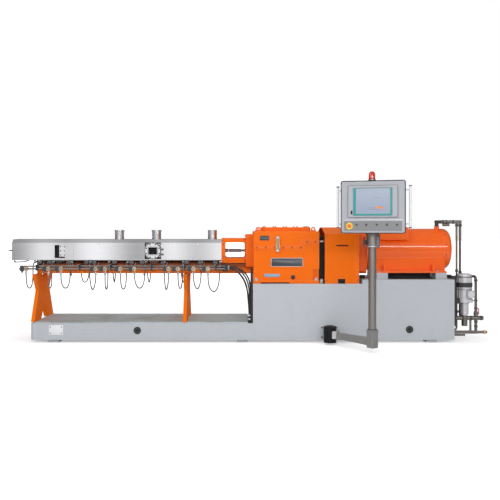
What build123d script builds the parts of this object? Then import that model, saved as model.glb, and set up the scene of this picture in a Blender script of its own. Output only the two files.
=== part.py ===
from build123d import *

import os
from math import cos, radians, sin, tan

# Plastic extruder: a twin-screw compounding extruder on one long base, in millimetres.
# +X runs along the machine from the discharge end to the motor, +Y away from the operator, +Z up.
# The origin is on the floor under the middle of the base.

os.makedirs("parts", exist_ok=True)

# General
seat = 0.3
base_length = 4580
base_depth = 800
sole_height = 30
sole_width = 120
sole_spread = 2050
sole_inset = 30

# Base housing and deck
deck_height = 221
deck_plate_thickness = 12
deck_inset = 26
drive_height = 637
motor_deck_height = 681
drive_start = 114
motor_deck_start = 1297
corner_cut = 26
cable_gap = 54
cable_pocket_depth = 130
cable_pocket_wall = 40
cap_radius = 40
cap_thickness = 8
cap_recess = 5
cap_places = ((-1136, 133), (1805, 144))
plate_width = 152
plate_height = 103
plate_thickness = 3
plate_centre = (-2014, 137)
motor_pad_length = 122
motor_pad_places = (1533, 2179.5)
motor_pad_inner = 150
motor_pad_outer = 290
motor_pad_height = 67

# Supports and carrier beam
support_thickness = 38
support_places = (-2271, -627)
support_foot = 385
support_neck = 215
support_neck_height = 553
support_top = 340
support_arch = 120
support_arch_height = 165
support_notch_depth = 45
support_notch_top = 90
support_notch_bottom = 50
beam_bottom = 734
beam_height = 109
beam_width = 300
beam_start = -2290

# Barrels, screws and cover
axis_height = 985
screw_pitch = 42
barrel_length = 206
barrel_count = 11
barrel_end = -234
barrel_width = 210
barrel_height = 160
barrel_flange = 24
barrel_waist = 14
barrel_foot_width = 120
rail_half_width = 58
rail_height = 49
discharge_length = 75
discharge_flats = 170
discharge_chamfer = 8
discharge_bore = 26
discharge_bore_depth = 60
die_bolt_circle = 140
die_bolt_count = 8
die_bolt_radius = 5.5
die_bolt_depth = 30
screw_radius = 18
screw_tip_reach = 141
screw_tip_cone = 90
screw_tip_end = 3
cover_start = -2572
cover_half_width = 150
cover_bottom = 880
cover_shoulder = 1075
cover_top = 1113
cover_bevel = 40
cover_wall = 25
cover_lip = 6
cover_lip_height = 14
stack_radius = 51
stack_wall = 4
stack_top = 1217
stack_flare = 5
stack_flare_height = 14
stack_places = (-1397, -975)
feed_place = -340
window_centre = (-2037.5, 977.5)
window_width = 115
window_height = 145
window_plate_width = 72
window_plate_thickness = 10
side_feed_place = -998
side_feed_flats = 168
side_feed_reach = 70
side_feed_hole_width = 94
side_feed_hole_height = 77
side_feed_cutout = 184

# Lantern and drive shafts
lantern_end = 40
lantern_bottom = 850
lantern_top = 1125
lantern_width = 300
lantern_window_start = -194
lantern_window_end = 26
lantern_window_bottom = 905
lantern_window_top = 1080
lantern_window_radius = 24
lantern_flange_thickness = 82
lantern_flange_bottom = 801
lantern_flange_top = 1170
lantern_flange_width = 370
shaft_radius = 12.5
sleeve_radius = 17
sleeve_start = -149
sleeve_end = -14
shaft_hole_radius = 24
shaft_collar_radius = 19.5
shaft_collar_length = 30

# Gearbox
gearbox_length = 711
gearbox_half_width = 380
gearbox_split = 1029
gearbox_step_length = 182
gearbox_step_height = 1090
gearbox_top = 1204
gearbox_band = 12
gearbox_band_height = 20
gearbox_foot_height = 38
gearbox_cap_start = 96
gearbox_cap_length = 532
gearbox_cap_half_width = 260
gearbox_cap_height = 45
gearbox_recess_length = 69
gearbox_recess_height = 117
gearbox_recess_depth = 40
gearbox_edge = 12
lug_length = 60
lug_height = 46
lug_thickness = 24
lug_hole_radius = 12
gauge_centre_x = 381
gauge_bottom = 982
gauge_top = 1149
gauge_width = 38
gauge_depth = 12
gauge_end_height = 23

# Coupling, guard and motor
motor_centre_height = 253
motor_axis_height = motor_deck_height + motor_pad_height + motor_centre_height
guard_gap = 60
guard_length = 370
guard_half_width = 380
guard_wall = 8
guard_shoulder = motor_axis_height + 175
guard_ridge = motor_axis_height + 246
guard_ridge_half = 90
guard_slot_start = 121
guard_slot_length = 135
guard_slot_height = motor_axis_height + 49
guard_slot_width = 14
guard_notch_start = 142
guard_notch_length = 79
guard_notch_height = 51
coupling_shaft_radius = 45
coupling_hub_radius = 95
coupling_disc_radius = 140
coupling_hub_length = 90
coupling_disc_length = 40
adapter_plate = 26
adapter_half_width = 235
adapter_bottom = motor_axis_height - 276
adapter_top = motor_axis_height + 199
adapter_length = 137
adapter_corner = 40
adapter_box_half = 205
adapter_box_step = 10
motor_radius = 230
motor_length = 930
motor_end_length = 96
motor_end_fillet = 62
motor_lip = 6
motor_lip_length = 24
foot_rail_thickness = 18
foot_web_thickness = 40
foot_web_inner = 175
foot_rib_places = (1560, 2095)
foot_rib_thickness = 20
foot_start = 1472
foot_end = 2241
terminal_start = 1490
terminal_length = 335
terminal_front = 260
terminal_depth = 210
terminal_bottom = motor_axis_height + 110
terminal_top = motor_axis_height + 233
terminal_lid = 14
port_place = 2187
port_stem_radius = 16
header_end = 2465
hanging_start = 2255
hanging_end = 2330
hanging_height = motor_axis_height + 275
port_boss_radius = 27
port_boss_top = motor_axis_height + 256
port_pipe_radius = 19
port_pipe_height = motor_axis_height + 307

# Pump unit at the motor end
pump_x = 2462
pump_y = -200
pump_line_height = 243
pump_line_radius = 23
pump_line_end = 2668
pump_foot_radius = 32
pump_foot_bottom = 156
pump_stage_radius = 43.5
pump_neck_radius = 36
pump_neck_bottom = 275
pump_stage_bottom = 289
pump_stage_top = 408
pump_flange_radius = 91.5
pump_flange_bottom = 422
pump_flange_height = 34
pump_collar_radius = 52
pump_motor_radius = 78
pump_motor_top = 699
pump_cap_height = 36
pump_rib_count = 12
pump_rib_height = 6
pump_rib_thickness = 5
pump_box_start = 2456
pump_box_length = 75
pump_box_depth = 60
pump_box_bottom = 478
pump_box_height = 74
bracket_bottom = 164
bracket_height = 555
bracket_wall = 12
bracket_reach = 94
bracket_side_reach = 50
bracket_band_overlap = 12
bracket_half_width = 92
riser_y = -80
riser_near_x = 2412
riser_near_radius = 11
riser_far_x = 2451
riser_far_radius = 14
return_x = 2588
return_radius = 16
return_top = 699
drain_height = 86
drain_radius = 18
drain_near_x = 2528
drain_near_radius = 12
outlet_end = 2711
outlet_radius = 15
small_pipe_height = 47
small_pipe_radius = 11
small_pipe_end = 2484
drain_far_end = 2604
valve_height = 292
valve_radius = 24
valve_length = 46
handle_length = 72
valve_stem_radius = 6
handle_width = 20
handle_thickness = 5
handle_clearance = 6

# Operator panel and its arm
arm_x = 933
arm_clear = 100
arm_y = -(base_depth / 2 + arm_clear)
arm_turn = -54.3
arm_reach = 610
arm_tube_height = 108
arm_tube_half_start = 28
arm_tube_half_end = 38
drum_radius = 68
drum_bottom = 22
drum_top = 193
drum_cap = 36
bracket_pad_half = 90
bracket_pad_bottom = 44
bracket_pad_top = 186
bracket_pad_thickness = 14
arm_tube_corner = 8
elbow_half = 45
elbow_corner = 18
elbow_bottom = 49
elbow_top = 229
post_radius = 39
post_top = 1045
coupling_radius = 57
coupling_ring_radius = 66
coupling_ring_height = 26
swivel_gap = 0.5
panel_turn = 20
panel_ahead = 160
panel_side = 30
panel_width = 627
panel_bottom = 1187
panel_top = 1702
panel_depth = 230
panel_corner = 22
frame_thickness = 18
frame_inset = 9
housing_side_inset = 30
screen_unit_width = 483
screen_unit_bottom = 1343
screen_unit_top = 1655
screen_unit_thickness = 12
screen_width = 373
screen_bottom = 1362
screen_top = 1628
screen_recess = 4
strip_bottom = 1212
strip_top = 1307
strip_width = 560
strip_thickness = 3
button_places = (-156, -61, 39, 138, 235)
button_radius = 11
button_reach = 9
button_height = 1272
stop_place = -226
stop_height = 1259
stop_collar_radius = 33
stop_collar_thickness = 6
stop_collar_bore = 10.3
stop_stem_radius = 10
stop_head_radius = 20
stop_head_thickness = 14
stop_travel = 5
handle_bar_radius = 12.5
handle_bar_bottom = 1237
handle_bar_top = 1653
handle_standoffs = (1279, 1609)
handle_standoff_radius = 7
handle_bar_offset = 39
handle_bar_depth = 50
beacon_place = -16
beacon_base_radius = 36
beacon_base_height = 22
beacon_radius = 30.5
beacon_top = panel_top + 93

# Cooling lines and cables
manifold_height = 797
manifold_radius = 9.5
manifold_y = 352
manifold_start = -2430
manifold_end = -190
return_height = 823
return_pipe_radius = 8
return_y = 322
bar_places = (-2240, -1780, -1440, -1000, -640, -300)
bar_thickness = 8
bar_height = 66
bar_bottom = 776
bar_overhang = 16
valve_places = (-2345, -2104, -1969, -1590, -1490, -1323, -1171, -802, -699, -531, -374)
rear_valve_places = (-1822, -1540, -1130, -728)
rear_riser_steps = (8, 6, 4, 2)
valve_disc_radius = 25
valve_disc_thickness = 16
valve_neck_radius = 7
valve_neck_bottom = 766
coil_width = 34
coil_height = 46
coil_depth = 38
elbow_radius = 9
elbow_y = 75
elbow_height = 862
elbow_reach = 172
elbow_bend = 18
hose_radius = 6.5
hose_lows = (583, 583, 583, 567, 572, 572, 583, 567, 578, 578, 545)
rear_hose_low = 600
cable_radius = 8.5
gland_start = -222
gland_end = -160
gland_depth = 150
gland_bottom = 768
gland_top = 838
conduit_radius = 12.5
conduit_x = 100
conduit_y = -340
conduit_top = 800

# Places worked out from the sizes above
half_length = base_length / 2
half_depth = base_depth / 2
deck_end = drive_start - cable_gap
cover_end = barrel_end
barrel_start = barrel_end - barrel_count * barrel_length
barrel_top = axis_height + barrel_height / 2
barrel_bottom = axis_height - barrel_height / 2
beam_top = beam_bottom + beam_height
discharge_face = barrel_start - discharge_length
gearbox_start = lantern_end + lantern_flange_thickness
gearbox_end = gearbox_start + gearbox_length
guard_start = gearbox_end + guard_gap
guard_end = guard_start + guard_length
motor_start = guard_end + adapter_length
motor_end = motor_start + motor_length
screw_sides = {"front": -screw_pitch / 2, "rear": screw_pitch / 2}


def add_block(low, high, mode=Mode.ADD):
    """A rectangular block from its lowest to its highest corner."""
    middle = [(a + b) / 2 for a, b in zip(low, high)]
    size = [b - a for a, b in zip(low, high)]
    with Locations(tuple(middle)):
        Box(*size, mode=mode)


def add_round(start, end, radius, mode=Mode.ADD):
    """A round bar from one point to another."""
    along = Vector(*end) - Vector(*start)
    with Locations(Plane(origin=start, z_dir=along)):
        Cylinder(radius, along.length, align=(Align.CENTER, Align.CENTER, Align.MIN), mode=mode)


def finish(builder, label):
    """Label a finished piece and write it."""
    builder.part.label = label
    export_step(builder.part, f"parts/{label}.step")


# Base
with BuildPart() as sole_bars:
    for place in (-sole_spread, 0, sole_spread):
        add_block(
            (place - sole_width / 2, sole_inset - half_depth, 0),
            (place + sole_width / 2, half_depth - sole_inset, sole_height),
        )
finish(sole_bars, "sole_bars")

with BuildPart() as bed_housing:
    with BuildSketch(Plane.XZ.offset(-half_depth)):
        with BuildLine():
            Polyline(
                (-half_length, sole_height),
                (half_length, sole_height),
                (half_length, motor_deck_height),
                (motor_deck_start, motor_deck_height),
                (motor_deck_start, drive_height),
                (drive_start, drive_height),
                (drive_start, deck_height - deck_plate_thickness),
                (-half_length, deck_height - deck_plate_thickness),
                close=True,
            )
        make_face()
    extrude(amount=base_depth)
    left_corners = bed_housing.edges().filter_by(Axis.Z).group_by(Axis.X)[0]
    chamfer(left_corners, corner_cut)
    add_block(
        (deck_end, cable_pocket_wall - half_depth, deck_height - deck_plate_thickness - cable_pocket_depth),
        (drive_start, half_depth - cable_pocket_wall, deck_height),
        mode=Mode.SUBTRACT,
    )
    for side in (-1, 1):
        for x, z in cap_places:
            face = side * half_depth
            add_round((x, face, z), (x, face - side * cap_recess, z), cap_radius + seat, mode=Mode.SUBTRACT)
        near, far = sorted((side * motor_pad_inner, side * motor_pad_outer))
        for place in motor_pad_places:
            add_block(
                (place - motor_pad_length / 2, near, motor_deck_height),
                (place + motor_pad_length / 2, far, motor_deck_height + motor_pad_height),
            )
finish(bed_housing, "bed_housing")

with BuildPart() as bed_covers:
    for side in (-1, 1):
        for x, z in cap_places:
            back = side * (half_depth - cap_recess)
            add_round((x, back, z), (x, back + side * cap_thickness, z), cap_radius)
    rims = bed_covers.faces().filter_by(Axis.Y).group_by(Axis.Y)
    chamfer((rims[0] + rims[-1]).edges(), cap_thickness / 4)
    add_block(
        (plate_centre[0] - plate_width / 2, -half_depth - plate_thickness, plate_centre[1] - plate_height / 2),
        (plate_centre[0] + plate_width / 2, -half_depth, plate_centre[1] + plate_height / 2),
    )
finish(bed_covers, "bed_covers")

with BuildPart() as deck_plate:
    add_block(
        (deck_inset - half_length, deck_inset - half_depth, deck_height - deck_plate_thickness),
        (deck_end, half_depth - deck_inset, deck_height),
    )
finish(deck_plate, "deck_plate")

# Supports
with BuildPart() as supports:
    for place in support_places:
        with BuildSketch(Plane.YZ.offset(place - support_thickness / 2)):
            with BuildLine():
                Polyline(
                    (support_arch, deck_height),
                    (support_foot, deck_height),
                    (support_neck, support_neck_height),
                    (support_top, beam_bottom),
                    (support_notch_top, beam_bottom),
                    (support_notch_bottom, beam_bottom - support_notch_depth),
                    (-support_notch_bottom, beam_bottom - support_notch_depth),
                    (-support_notch_top, beam_bottom),
                    (-support_top, beam_bottom),
                    (-support_neck, support_neck_height),
                    (-support_foot, deck_height),
                    (-support_arch, deck_height),
                    (0, deck_height + support_arch_height),
                    close=True,
                )
            make_face()
        extrude(amount=support_thickness)
finish(supports, "supports")

with BuildPart() as carrier_beam:
    with BuildSketch(Plane.XZ.offset(-beam_width / 2)):
        with BuildLine():
            Polyline(
                (beam_start, beam_bottom),
                (gearbox_start, beam_bottom),
                (gearbox_start, lantern_flange_bottom),
                (lantern_end, lantern_flange_bottom),
                (lantern_end, beam_top),
                (beam_start, beam_top),
                close=True,
            )
        make_face()
    extrude(amount=beam_width)
    add_block(
        (beam_start, -rail_half_width, beam_top),
        (barrel_end - barrel_flange, rail_half_width, beam_top + rail_height),
    )
finish(carrier_beam, "carrier_beam")

# Barrels, in two sets so that neighbours are separate pieces
for name, first in (("barrels_even", 0), ("barrels_odd", 1)):
    with BuildPart() as barrels:
        for index in range(first, barrel_count, 2):
            start = barrel_start + index * barrel_length
            end = start + barrel_length
            half, low, high = barrel_width / 2, barrel_bottom, barrel_top
            for near, far in ((start, start + barrel_flange), (end - barrel_flange, end)):
                add_block((near, -half, low), (far, half, high))
            add_block(
                (start + barrel_flange, barrel_waist - half, low + barrel_waist),
                (end - barrel_flange, half - barrel_waist, high),
            )
    finish(barrels, name)

with BuildPart() as barrel_feet:
    for index in range(2, barrel_count, 2):
        joint = barrel_start + index * barrel_length
        add_block(
            (joint - barrel_flange, -barrel_foot_width / 2, beam_top + rail_height),
            (joint + barrel_flange, barrel_foot_width / 2, barrel_bottom),
        )
finish(barrel_feet, "barrel_feet")

# Discharge end and screws
with BuildPart() as discharge_flange:
    with BuildSketch(Plane.YZ.offset(discharge_face)):
        with Locations((0, axis_height)):
            RegularPolygon(discharge_flats / 2, 8, major_radius=False, rotation=22.5)
    extrude(amount=discharge_length)
    chamfer(discharge_flange.faces().sort_by(Axis.X)[0].edges(), discharge_chamfer)
    for y in screw_sides.values():
        add_round(
            (discharge_face, y, axis_height),
            (discharge_face + discharge_bore_depth, y, axis_height),
            discharge_bore,
            mode=Mode.SUBTRACT,
        )
    with Locations(Plane(origin=(discharge_face, 0, axis_height), z_dir=(-1, 0, 0))):
        with PolarLocations(die_bolt_circle / 2, die_bolt_count, start_angle=22.5):
            Hole(die_bolt_radius, die_bolt_depth)
finish(discharge_flange, "discharge_flange")

for name, y in screw_sides.items():
    with BuildPart() as screw:
        with BuildSketch(Plane.XZ.offset(-y)):
            with BuildLine():
                root_x = discharge_face + discharge_bore_depth - seat
                Polyline(
                    (root_x, axis_height),
                    (root_x, axis_height + screw_radius),
                    (root_x - screw_tip_reach + screw_tip_cone, axis_height + screw_radius),
                    (root_x - screw_tip_reach, axis_height + screw_tip_end),
                    (root_x - screw_tip_reach, axis_height),
                    close=True,
                )
            make_face()
        revolve(axis=Axis((0, y, axis_height), (1, 0, 0)))
        add_round((barrel_end + seat, y, axis_height), (gearbox_start - seat, y, axis_height), shaft_radius)
        add_round((sleeve_start, y, axis_height), (sleeve_end, y, axis_height), sleeve_radius)
        collar_end = lantern_window_start + shaft_collar_length
        add_round((lantern_window_start, y, axis_height), (collar_end, y, axis_height), shaft_collar_radius)
    finish(screw, f"screw_{name}")

# Insulated cover over the barrels, open below
with BuildPart() as barrel_cover:
    with BuildSketch(Plane.YZ.offset(cover_start)):
        with BuildLine():
            Polyline(
                (-cover_half_width, cover_bottom),
                (-cover_half_width, cover_shoulder),
                (cover_bevel - cover_half_width, cover_top),
                (cover_half_width - cover_bevel, cover_top),
                (cover_half_width, cover_shoulder),
                (cover_half_width, cover_bottom),
                close=True,
            )
        make_face()
    extrude(amount=cover_end - cover_start)
    add_block(
        (cover_start + cover_wall, cover_wall - cover_half_width, cover_bottom),
        (cover_end - cover_wall, cover_half_width - cover_wall, cover_top - cover_wall),
        mode=Mode.SUBTRACT,
    )
    add_block(
        (cover_start, -discharge_flats / 2 - seat, cover_bottom),
        (cover_start + cover_wall, discharge_flats / 2 + seat, axis_height + discharge_flats / 2 + seat),
        mode=Mode.SUBTRACT,
    )
    add_block(
        (cover_end - cover_wall, -barrel_width / 2 - seat, cover_bottom),
        (cover_end, barrel_width / 2 + seat, barrel_top + seat),
        mode=Mode.SUBTRACT,
    )
    for side in (-1, 1):
        face = side * cover_half_width
        near, far = sorted((face, face + side * cover_lip))
        add_block((cover_start, near, cover_bottom), (cover_end, far, cover_bottom + cover_lip_height))
    for x in (*stack_places, feed_place):
        add_round((x, 0, barrel_top), (x, 0, cover_top), stack_radius + seat, mode=Mode.SUBTRACT)
    add_block(
        (
            window_centre[0] - window_width / 2,
            -cover_half_width,
            window_centre[1] - window_height / 2,
        ),
        (
            window_centre[0] + window_width / 2,
            cover_wall - cover_half_width,
            window_centre[1] + window_height / 2,
        ),
        mode=Mode.SUBTRACT,
    )
    add_block(
        (side_feed_place - side_feed_cutout / 2, -cover_half_width, axis_height - side_feed_cutout / 2),
        (
            side_feed_place + side_feed_cutout / 2,
            cover_wall - cover_half_width,
            axis_height + side_feed_cutout / 2,
        ),
        mode=Mode.SUBTRACT,
    )
finish(barrel_cover, "barrel_cover")

# Feed inlet and vent stacks, open at the top
for name, places in (("vent_stacks", stack_places), ("feed_inlet", (feed_place,))):
    with BuildPart() as stacks:
        for x in places:
            add_round((x, 0, barrel_top), (x, 0, stack_top), stack_radius)
            if name == "vent_stacks":
                with Locations((x, 0, stack_top - stack_flare_height / 2)):
                    Cylinder(stack_radius + stack_flare, stack_flare_height)
            add_round((x, 0, barrel_top), (x, 0, stack_top), stack_radius - stack_wall, mode=Mode.SUBTRACT)
    finish(stacks, name)

# Side feed port, and the plate in the cover's window, both seated on barrels
with BuildPart() as barrel_ports:
    with BuildSketch(Plane.XZ.offset(barrel_width / 2)):
        with Locations((side_feed_place, axis_height)):
            RegularPolygon(side_feed_flats / 2, 8, major_radius=False, rotation=22.5)
            Rectangle(side_feed_hole_width, side_feed_hole_height, mode=Mode.SUBTRACT)
    extrude(amount=side_feed_reach)
    window_right = window_centre[0] + window_width / 2
    add_block(
        (
            window_right - window_plate_width,
            -barrel_width / 2 - window_plate_thickness,
            barrel_bottom + barrel_waist,
        ),
        (window_right, barrel_waist - barrel_width / 2, window_centre[1] + window_height / 2),
    )
finish(barrel_ports, "barrel_ports")

# Lantern between the barrels and the gearbox
with BuildPart() as lantern:
    add_block(
        (lantern_end, -lantern_flange_width / 2, lantern_flange_bottom),
        (gearbox_start, lantern_flange_width / 2, lantern_flange_top),
    )
    fillet(lantern.edges().filter_by(Axis.X), lantern_window_radius)
    add_block((barrel_end, -lantern_width / 2, lantern_bottom), (lantern_end, lantern_width / 2, lantern_top))
    with BuildSketch(Plane.XZ.offset(-lantern_width / 2)):
        window_middle = (
            (lantern_window_start + lantern_window_end) / 2,
            (lantern_window_bottom + lantern_window_top) / 2,
        )
        with Locations(window_middle):
            RectangleRounded(
                lantern_window_end - lantern_window_start,
                lantern_window_top - lantern_window_bottom,
                lantern_window_radius,
            )
    extrude(amount=lantern_width, mode=Mode.SUBTRACT)
    for y in screw_sides.values():
        add_round(
            (barrel_end, y, axis_height), (gearbox_start, y, axis_height), shaft_hole_radius, mode=Mode.SUBTRACT
        )
finish(lantern, "lantern")

# Gearbox, split along a stepped flange
step_x = gearbox_end - gearbox_step_length
inner_half = gearbox_half_width - gearbox_band
with BuildPart() as gearbox_lower:
    with BuildSketch(Plane.XZ.offset(-inner_half)):
        with BuildLine():
            Polyline(
                (gearbox_start, drive_height),
                (gearbox_end, drive_height),
                (gearbox_end, gearbox_step_height),
                (step_x, gearbox_step_height),
                (step_x, gearbox_split),
                (gearbox_start, gearbox_split),
                close=True,
            )
        make_face()
    extrude(amount=2 * inner_half)
    add_block(
        (gearbox_start, -gearbox_half_width, drive_height),
        (gearbox_end, gearbox_half_width, drive_height + gearbox_foot_height),
    )
    add_block(
        (gearbox_start, -gearbox_half_width, gearbox_split - gearbox_band_height),
        (step_x, gearbox_half_width, gearbox_split),
    )
    add_block(
        (step_x, -gearbox_half_width, gearbox_step_height - gearbox_band_height),
        (gearbox_end, gearbox_half_width, gearbox_step_height),
    )
    add_block(
        (step_x, -gearbox_half_width, gearbox_split - gearbox_band_height),
        (step_x + gearbox_band_height, gearbox_half_width, gearbox_step_height),
    )
    recess_low = drive_height + gearbox_foot_height
    for side in (-1, 1):
        near, far = sorted((side * (inner_half - gearbox_recess_depth), side * gearbox_half_width))
        add_block(
            (gearbox_end - gearbox_recess_length, near, recess_low),
            (gearbox_end, far, recess_low + gearbox_recess_height),
            mode=Mode.SUBTRACT,
        )
finish(gearbox_lower, "gearbox_lower")

with BuildPart() as gearbox_upper:
    with BuildSketch(Plane.XZ.offset(-inner_half)):
        with BuildLine():
            Polyline(
                (gearbox_start, gearbox_split),
                (step_x, gearbox_split),
                (step_x, gearbox_step_height),
                (gearbox_end, gearbox_step_height),
                (gearbox_end, gearbox_top),
                (gearbox_start, gearbox_top),
                close=True,
            )
        make_face()
    extrude(amount=2 * inner_half)
    fillet(gearbox_upper.faces().sort_by(Axis.Z)[-1].edges(), gearbox_edge)
    add_block(
        (gearbox_start, -gearbox_half_width, gearbox_split),
        (step_x, gearbox_half_width, gearbox_split + gearbox_band_height),
    )
    add_block(
        (step_x - gearbox_band_height, -gearbox_half_width, gearbox_split),
        (step_x, gearbox_half_width, gearbox_step_height + gearbox_band_height),
    )
    add_block(
        (step_x, -gearbox_half_width, gearbox_step_height),
        (gearbox_end, gearbox_half_width, gearbox_step_height + gearbox_band_height),
    )
    for side in (-1, 1):
        middle_y = side * (gearbox_cap_half_width + inner_half) / 2
        for x in (gearbox_start + lug_length, gearbox_end - lug_length):
            with BuildSketch(Plane.XZ.offset(lug_thickness / 2 - middle_y)):
                with BuildLine():
                    Polyline(
                        (x - lug_length / 2, gearbox_top),
                        (x + lug_length / 2, gearbox_top),
                        (x + lug_length / 4, gearbox_top + lug_height),
                        (x - lug_length / 4, gearbox_top + lug_height),
                        close=True,
                    )
                make_face()
                with Locations((x, gearbox_top + lug_height / 2)):
                    Circle(lug_hole_radius, mode=Mode.SUBTRACT)
            extrude(amount=-lug_thickness)
finish(gearbox_upper, "gearbox_upper")

with BuildPart() as gearbox_cap:
    cap_start = gearbox_start + gearbox_cap_start
    add_block(
        (cap_start, -gearbox_cap_half_width, gearbox_top),
        (cap_start + gearbox_cap_length, gearbox_cap_half_width, gearbox_top + gearbox_cap_height),
    )
    fillet(gearbox_cap.edges().filter_by(Axis.Z), 2 * gearbox_edge)
    chamfer(gearbox_cap.faces().sort_by(Axis.Z)[-1].edges(), gearbox_edge / 2)
finish(gearbox_cap, "gearbox_cap")

with BuildPart() as oil_gauge:
    gauge_low = (gauge_centre_x - gauge_width / 2, -gearbox_half_width - gauge_depth, gauge_bottom)
    add_block(gauge_low, (gauge_centre_x + gauge_width / 2, -gearbox_half_width, gauge_top))
    fillet(oil_gauge.edges().filter_by(Axis.Y), gauge_width / 4)
    for low in (gauge_bottom, gauge_top - gauge_end_height):
        add_round(
            (gauge_centre_x, -gearbox_half_width, low + gauge_end_height / 2),
            (gauge_centre_x, -inner_half, low + gauge_end_height / 2),
            gauge_end_height / 2,
        )
finish(oil_gauge, "oil_gauge")

# Coupling between gearbox and motor, under its guard
with BuildPart() as drive_coupling:
    add_round((gearbox_end, 0, motor_axis_height), (guard_end, 0, motor_axis_height), coupling_shaft_radius)
    coupling_middle = (guard_start + guard_end) / 2
    for side in (-1, 1):
        disc_face = coupling_middle + side * coupling_disc_length
        hub_face = disc_face + side * coupling_hub_length
        add_round((coupling_middle, 0, motor_axis_height), (disc_face, 0, motor_axis_height), coupling_disc_radius)
        add_round((disc_face, 0, motor_axis_height), (hub_face, 0, motor_axis_height), coupling_hub_radius)
finish(drive_coupling, "drive_coupling")

with BuildPart() as coupling_guard:
    with BuildSketch(Plane.YZ.offset(guard_start)):
        with BuildLine():
            Polyline(
                (-guard_half_width, drive_height),
                (-guard_half_width, guard_shoulder),
                (-guard_ridge_half, guard_ridge),
                (guard_ridge_half, guard_ridge),
                (guard_half_width, guard_shoulder),
                (guard_half_width, drive_height),
                close=True,
            )
        make_face()
        with BuildLine():
            Polyline(
                (guard_wall - guard_half_width, drive_height),
                (guard_wall - guard_half_width, guard_shoulder - guard_wall / 2),
                (-guard_ridge_half, guard_ridge - guard_wall),
                (guard_ridge_half, guard_ridge - guard_wall),
                (guard_half_width - guard_wall, guard_shoulder - guard_wall / 2),
                (guard_half_width - guard_wall, drive_height),
                close=True,
            )
        make_face(mode=Mode.SUBTRACT)
    extrude(amount=guard_length)
    for side in (-1, 1):
        near, far = sorted((side * (guard_half_width - guard_wall), side * guard_half_width))
        slot_x = guard_start + guard_slot_start
        add_block(
            (slot_x, near, guard_slot_height - guard_slot_width / 2),
            (slot_x + guard_slot_length, far, guard_slot_height + guard_slot_width / 2),
            mode=Mode.SUBTRACT,
        )
        notch_x = guard_start + guard_notch_start
        add_block(
            (notch_x, near, drive_height),
            (notch_x + guard_notch_length, far, drive_height + guard_notch_height),
            mode=Mode.SUBTRACT,
        )
finish(coupling_guard, "coupling_guard")

# Motor
with BuildPart() as motor_adapter:
    add_block(
        (guard_end, -adapter_half_width, adapter_bottom),
        (guard_end + adapter_plate, adapter_half_width, adapter_top),
    )
    fillet(motor_adapter.edges().filter_by(Axis.X), adapter_corner)
    box_top = adapter_top - adapter_box_step
    with BuildSketch(Plane.YZ.offset(guard_end + adapter_plate)):
        with Locations((0, (adapter_bottom + adapter_box_step + box_top) / 2)):
            RectangleRounded(2 * adapter_box_half, box_top - adapter_bottom - adapter_box_step, adapter_corner)
    extrude(amount=adapter_length - adapter_plate - motor_lip_length)
    with BuildSketch(Plane.YZ.offset(motor_start - motor_lip_length)):
        with Locations((0, motor_axis_height)):
            Circle(motor_radius)
    extrude(amount=motor_lip_length)
finish(motor_adapter, "motor_adapter")

frame_end = motor_end - motor_end_length
with BuildPart() as motor_body:
    add_round((motor_start, 0, motor_axis_height), (frame_end, 0, motor_axis_height), motor_radius)
    add_round(
        (motor_start, 0, motor_axis_height),
        (motor_start + motor_lip_length, 0, motor_axis_height),
        motor_radius + motor_lip,
    )
    add_round((port_place, riser_y, motor_axis_height), (port_place, riser_y, port_boss_top), port_boss_radius)
finish(motor_body, "motor_body")

with BuildPart() as motor_cowl:
    add_round((frame_end, 0, motor_axis_height), (motor_end, 0, motor_axis_height), motor_radius)
    fillet(motor_cowl.faces().sort_by(Axis.X)[-1].edges(), motor_end_fillet)
finish(motor_cowl, "motor_cowl")

with BuildPart() as motor_feet:
    foot_bottom = motor_deck_height + motor_pad_height
    for side in (-1, 1):
        near, far = sorted((side * motor_pad_inner, side * motor_pad_outer))
        add_block((foot_start, near, foot_bottom), (foot_end, far, foot_bottom + foot_rail_thickness))
        web_near, web_far = sorted((side * foot_web_inner, side * (foot_web_inner + foot_web_thickness)))
        add_block((foot_start, web_near, foot_bottom), (foot_end, web_far, motor_axis_height))
        for x in foot_rib_places:
            add_block(
                (x - foot_rib_thickness / 2, near, foot_bottom),
                (x + foot_rib_thickness / 2, far, foot_bottom + foot_rail_thickness + motor_pad_height),
            )
    add_round(
        (foot_start - seat, 0, motor_axis_height),
        (motor_end, 0, motor_axis_height),
        motor_radius + seat,
        mode=Mode.SUBTRACT,
    )
finish(motor_feet, "motor_feet")

with BuildPart() as terminal_box:
    add_block(
        (terminal_start, -terminal_front, terminal_bottom),
        (terminal_start + terminal_length, terminal_depth - terminal_front, terminal_top),
    )
    fillet(terminal_box.edges().filter_by(Axis.Y), gearbox_edge / 2)
    add_block(
        (terminal_start - terminal_lid, -terminal_front - terminal_lid, terminal_top),
        (
            terminal_start + terminal_length + terminal_lid,
            terminal_depth - terminal_front + terminal_lid,
            terminal_top + terminal_lid,
        ),
    )
    add_round(
        (motor_start, 0, motor_axis_height),
        (motor_end, 0, motor_axis_height),
        motor_radius + seat,
        mode=Mode.SUBTRACT,
    )
finish(terminal_box, "terminal_box")


def add_pipe(points, radius, bend):
    """A round pipe along straight runs joined by bends of one radius."""
    with BuildLine() as route:
        FilletPolyline(*points, radius=bend)
    with BuildSketch(Plane(origin=route.line @ 0, z_dir=route.line % 0)) as section:
        Circle(radius)
    sweep(section.sketch, path=route.line)


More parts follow.
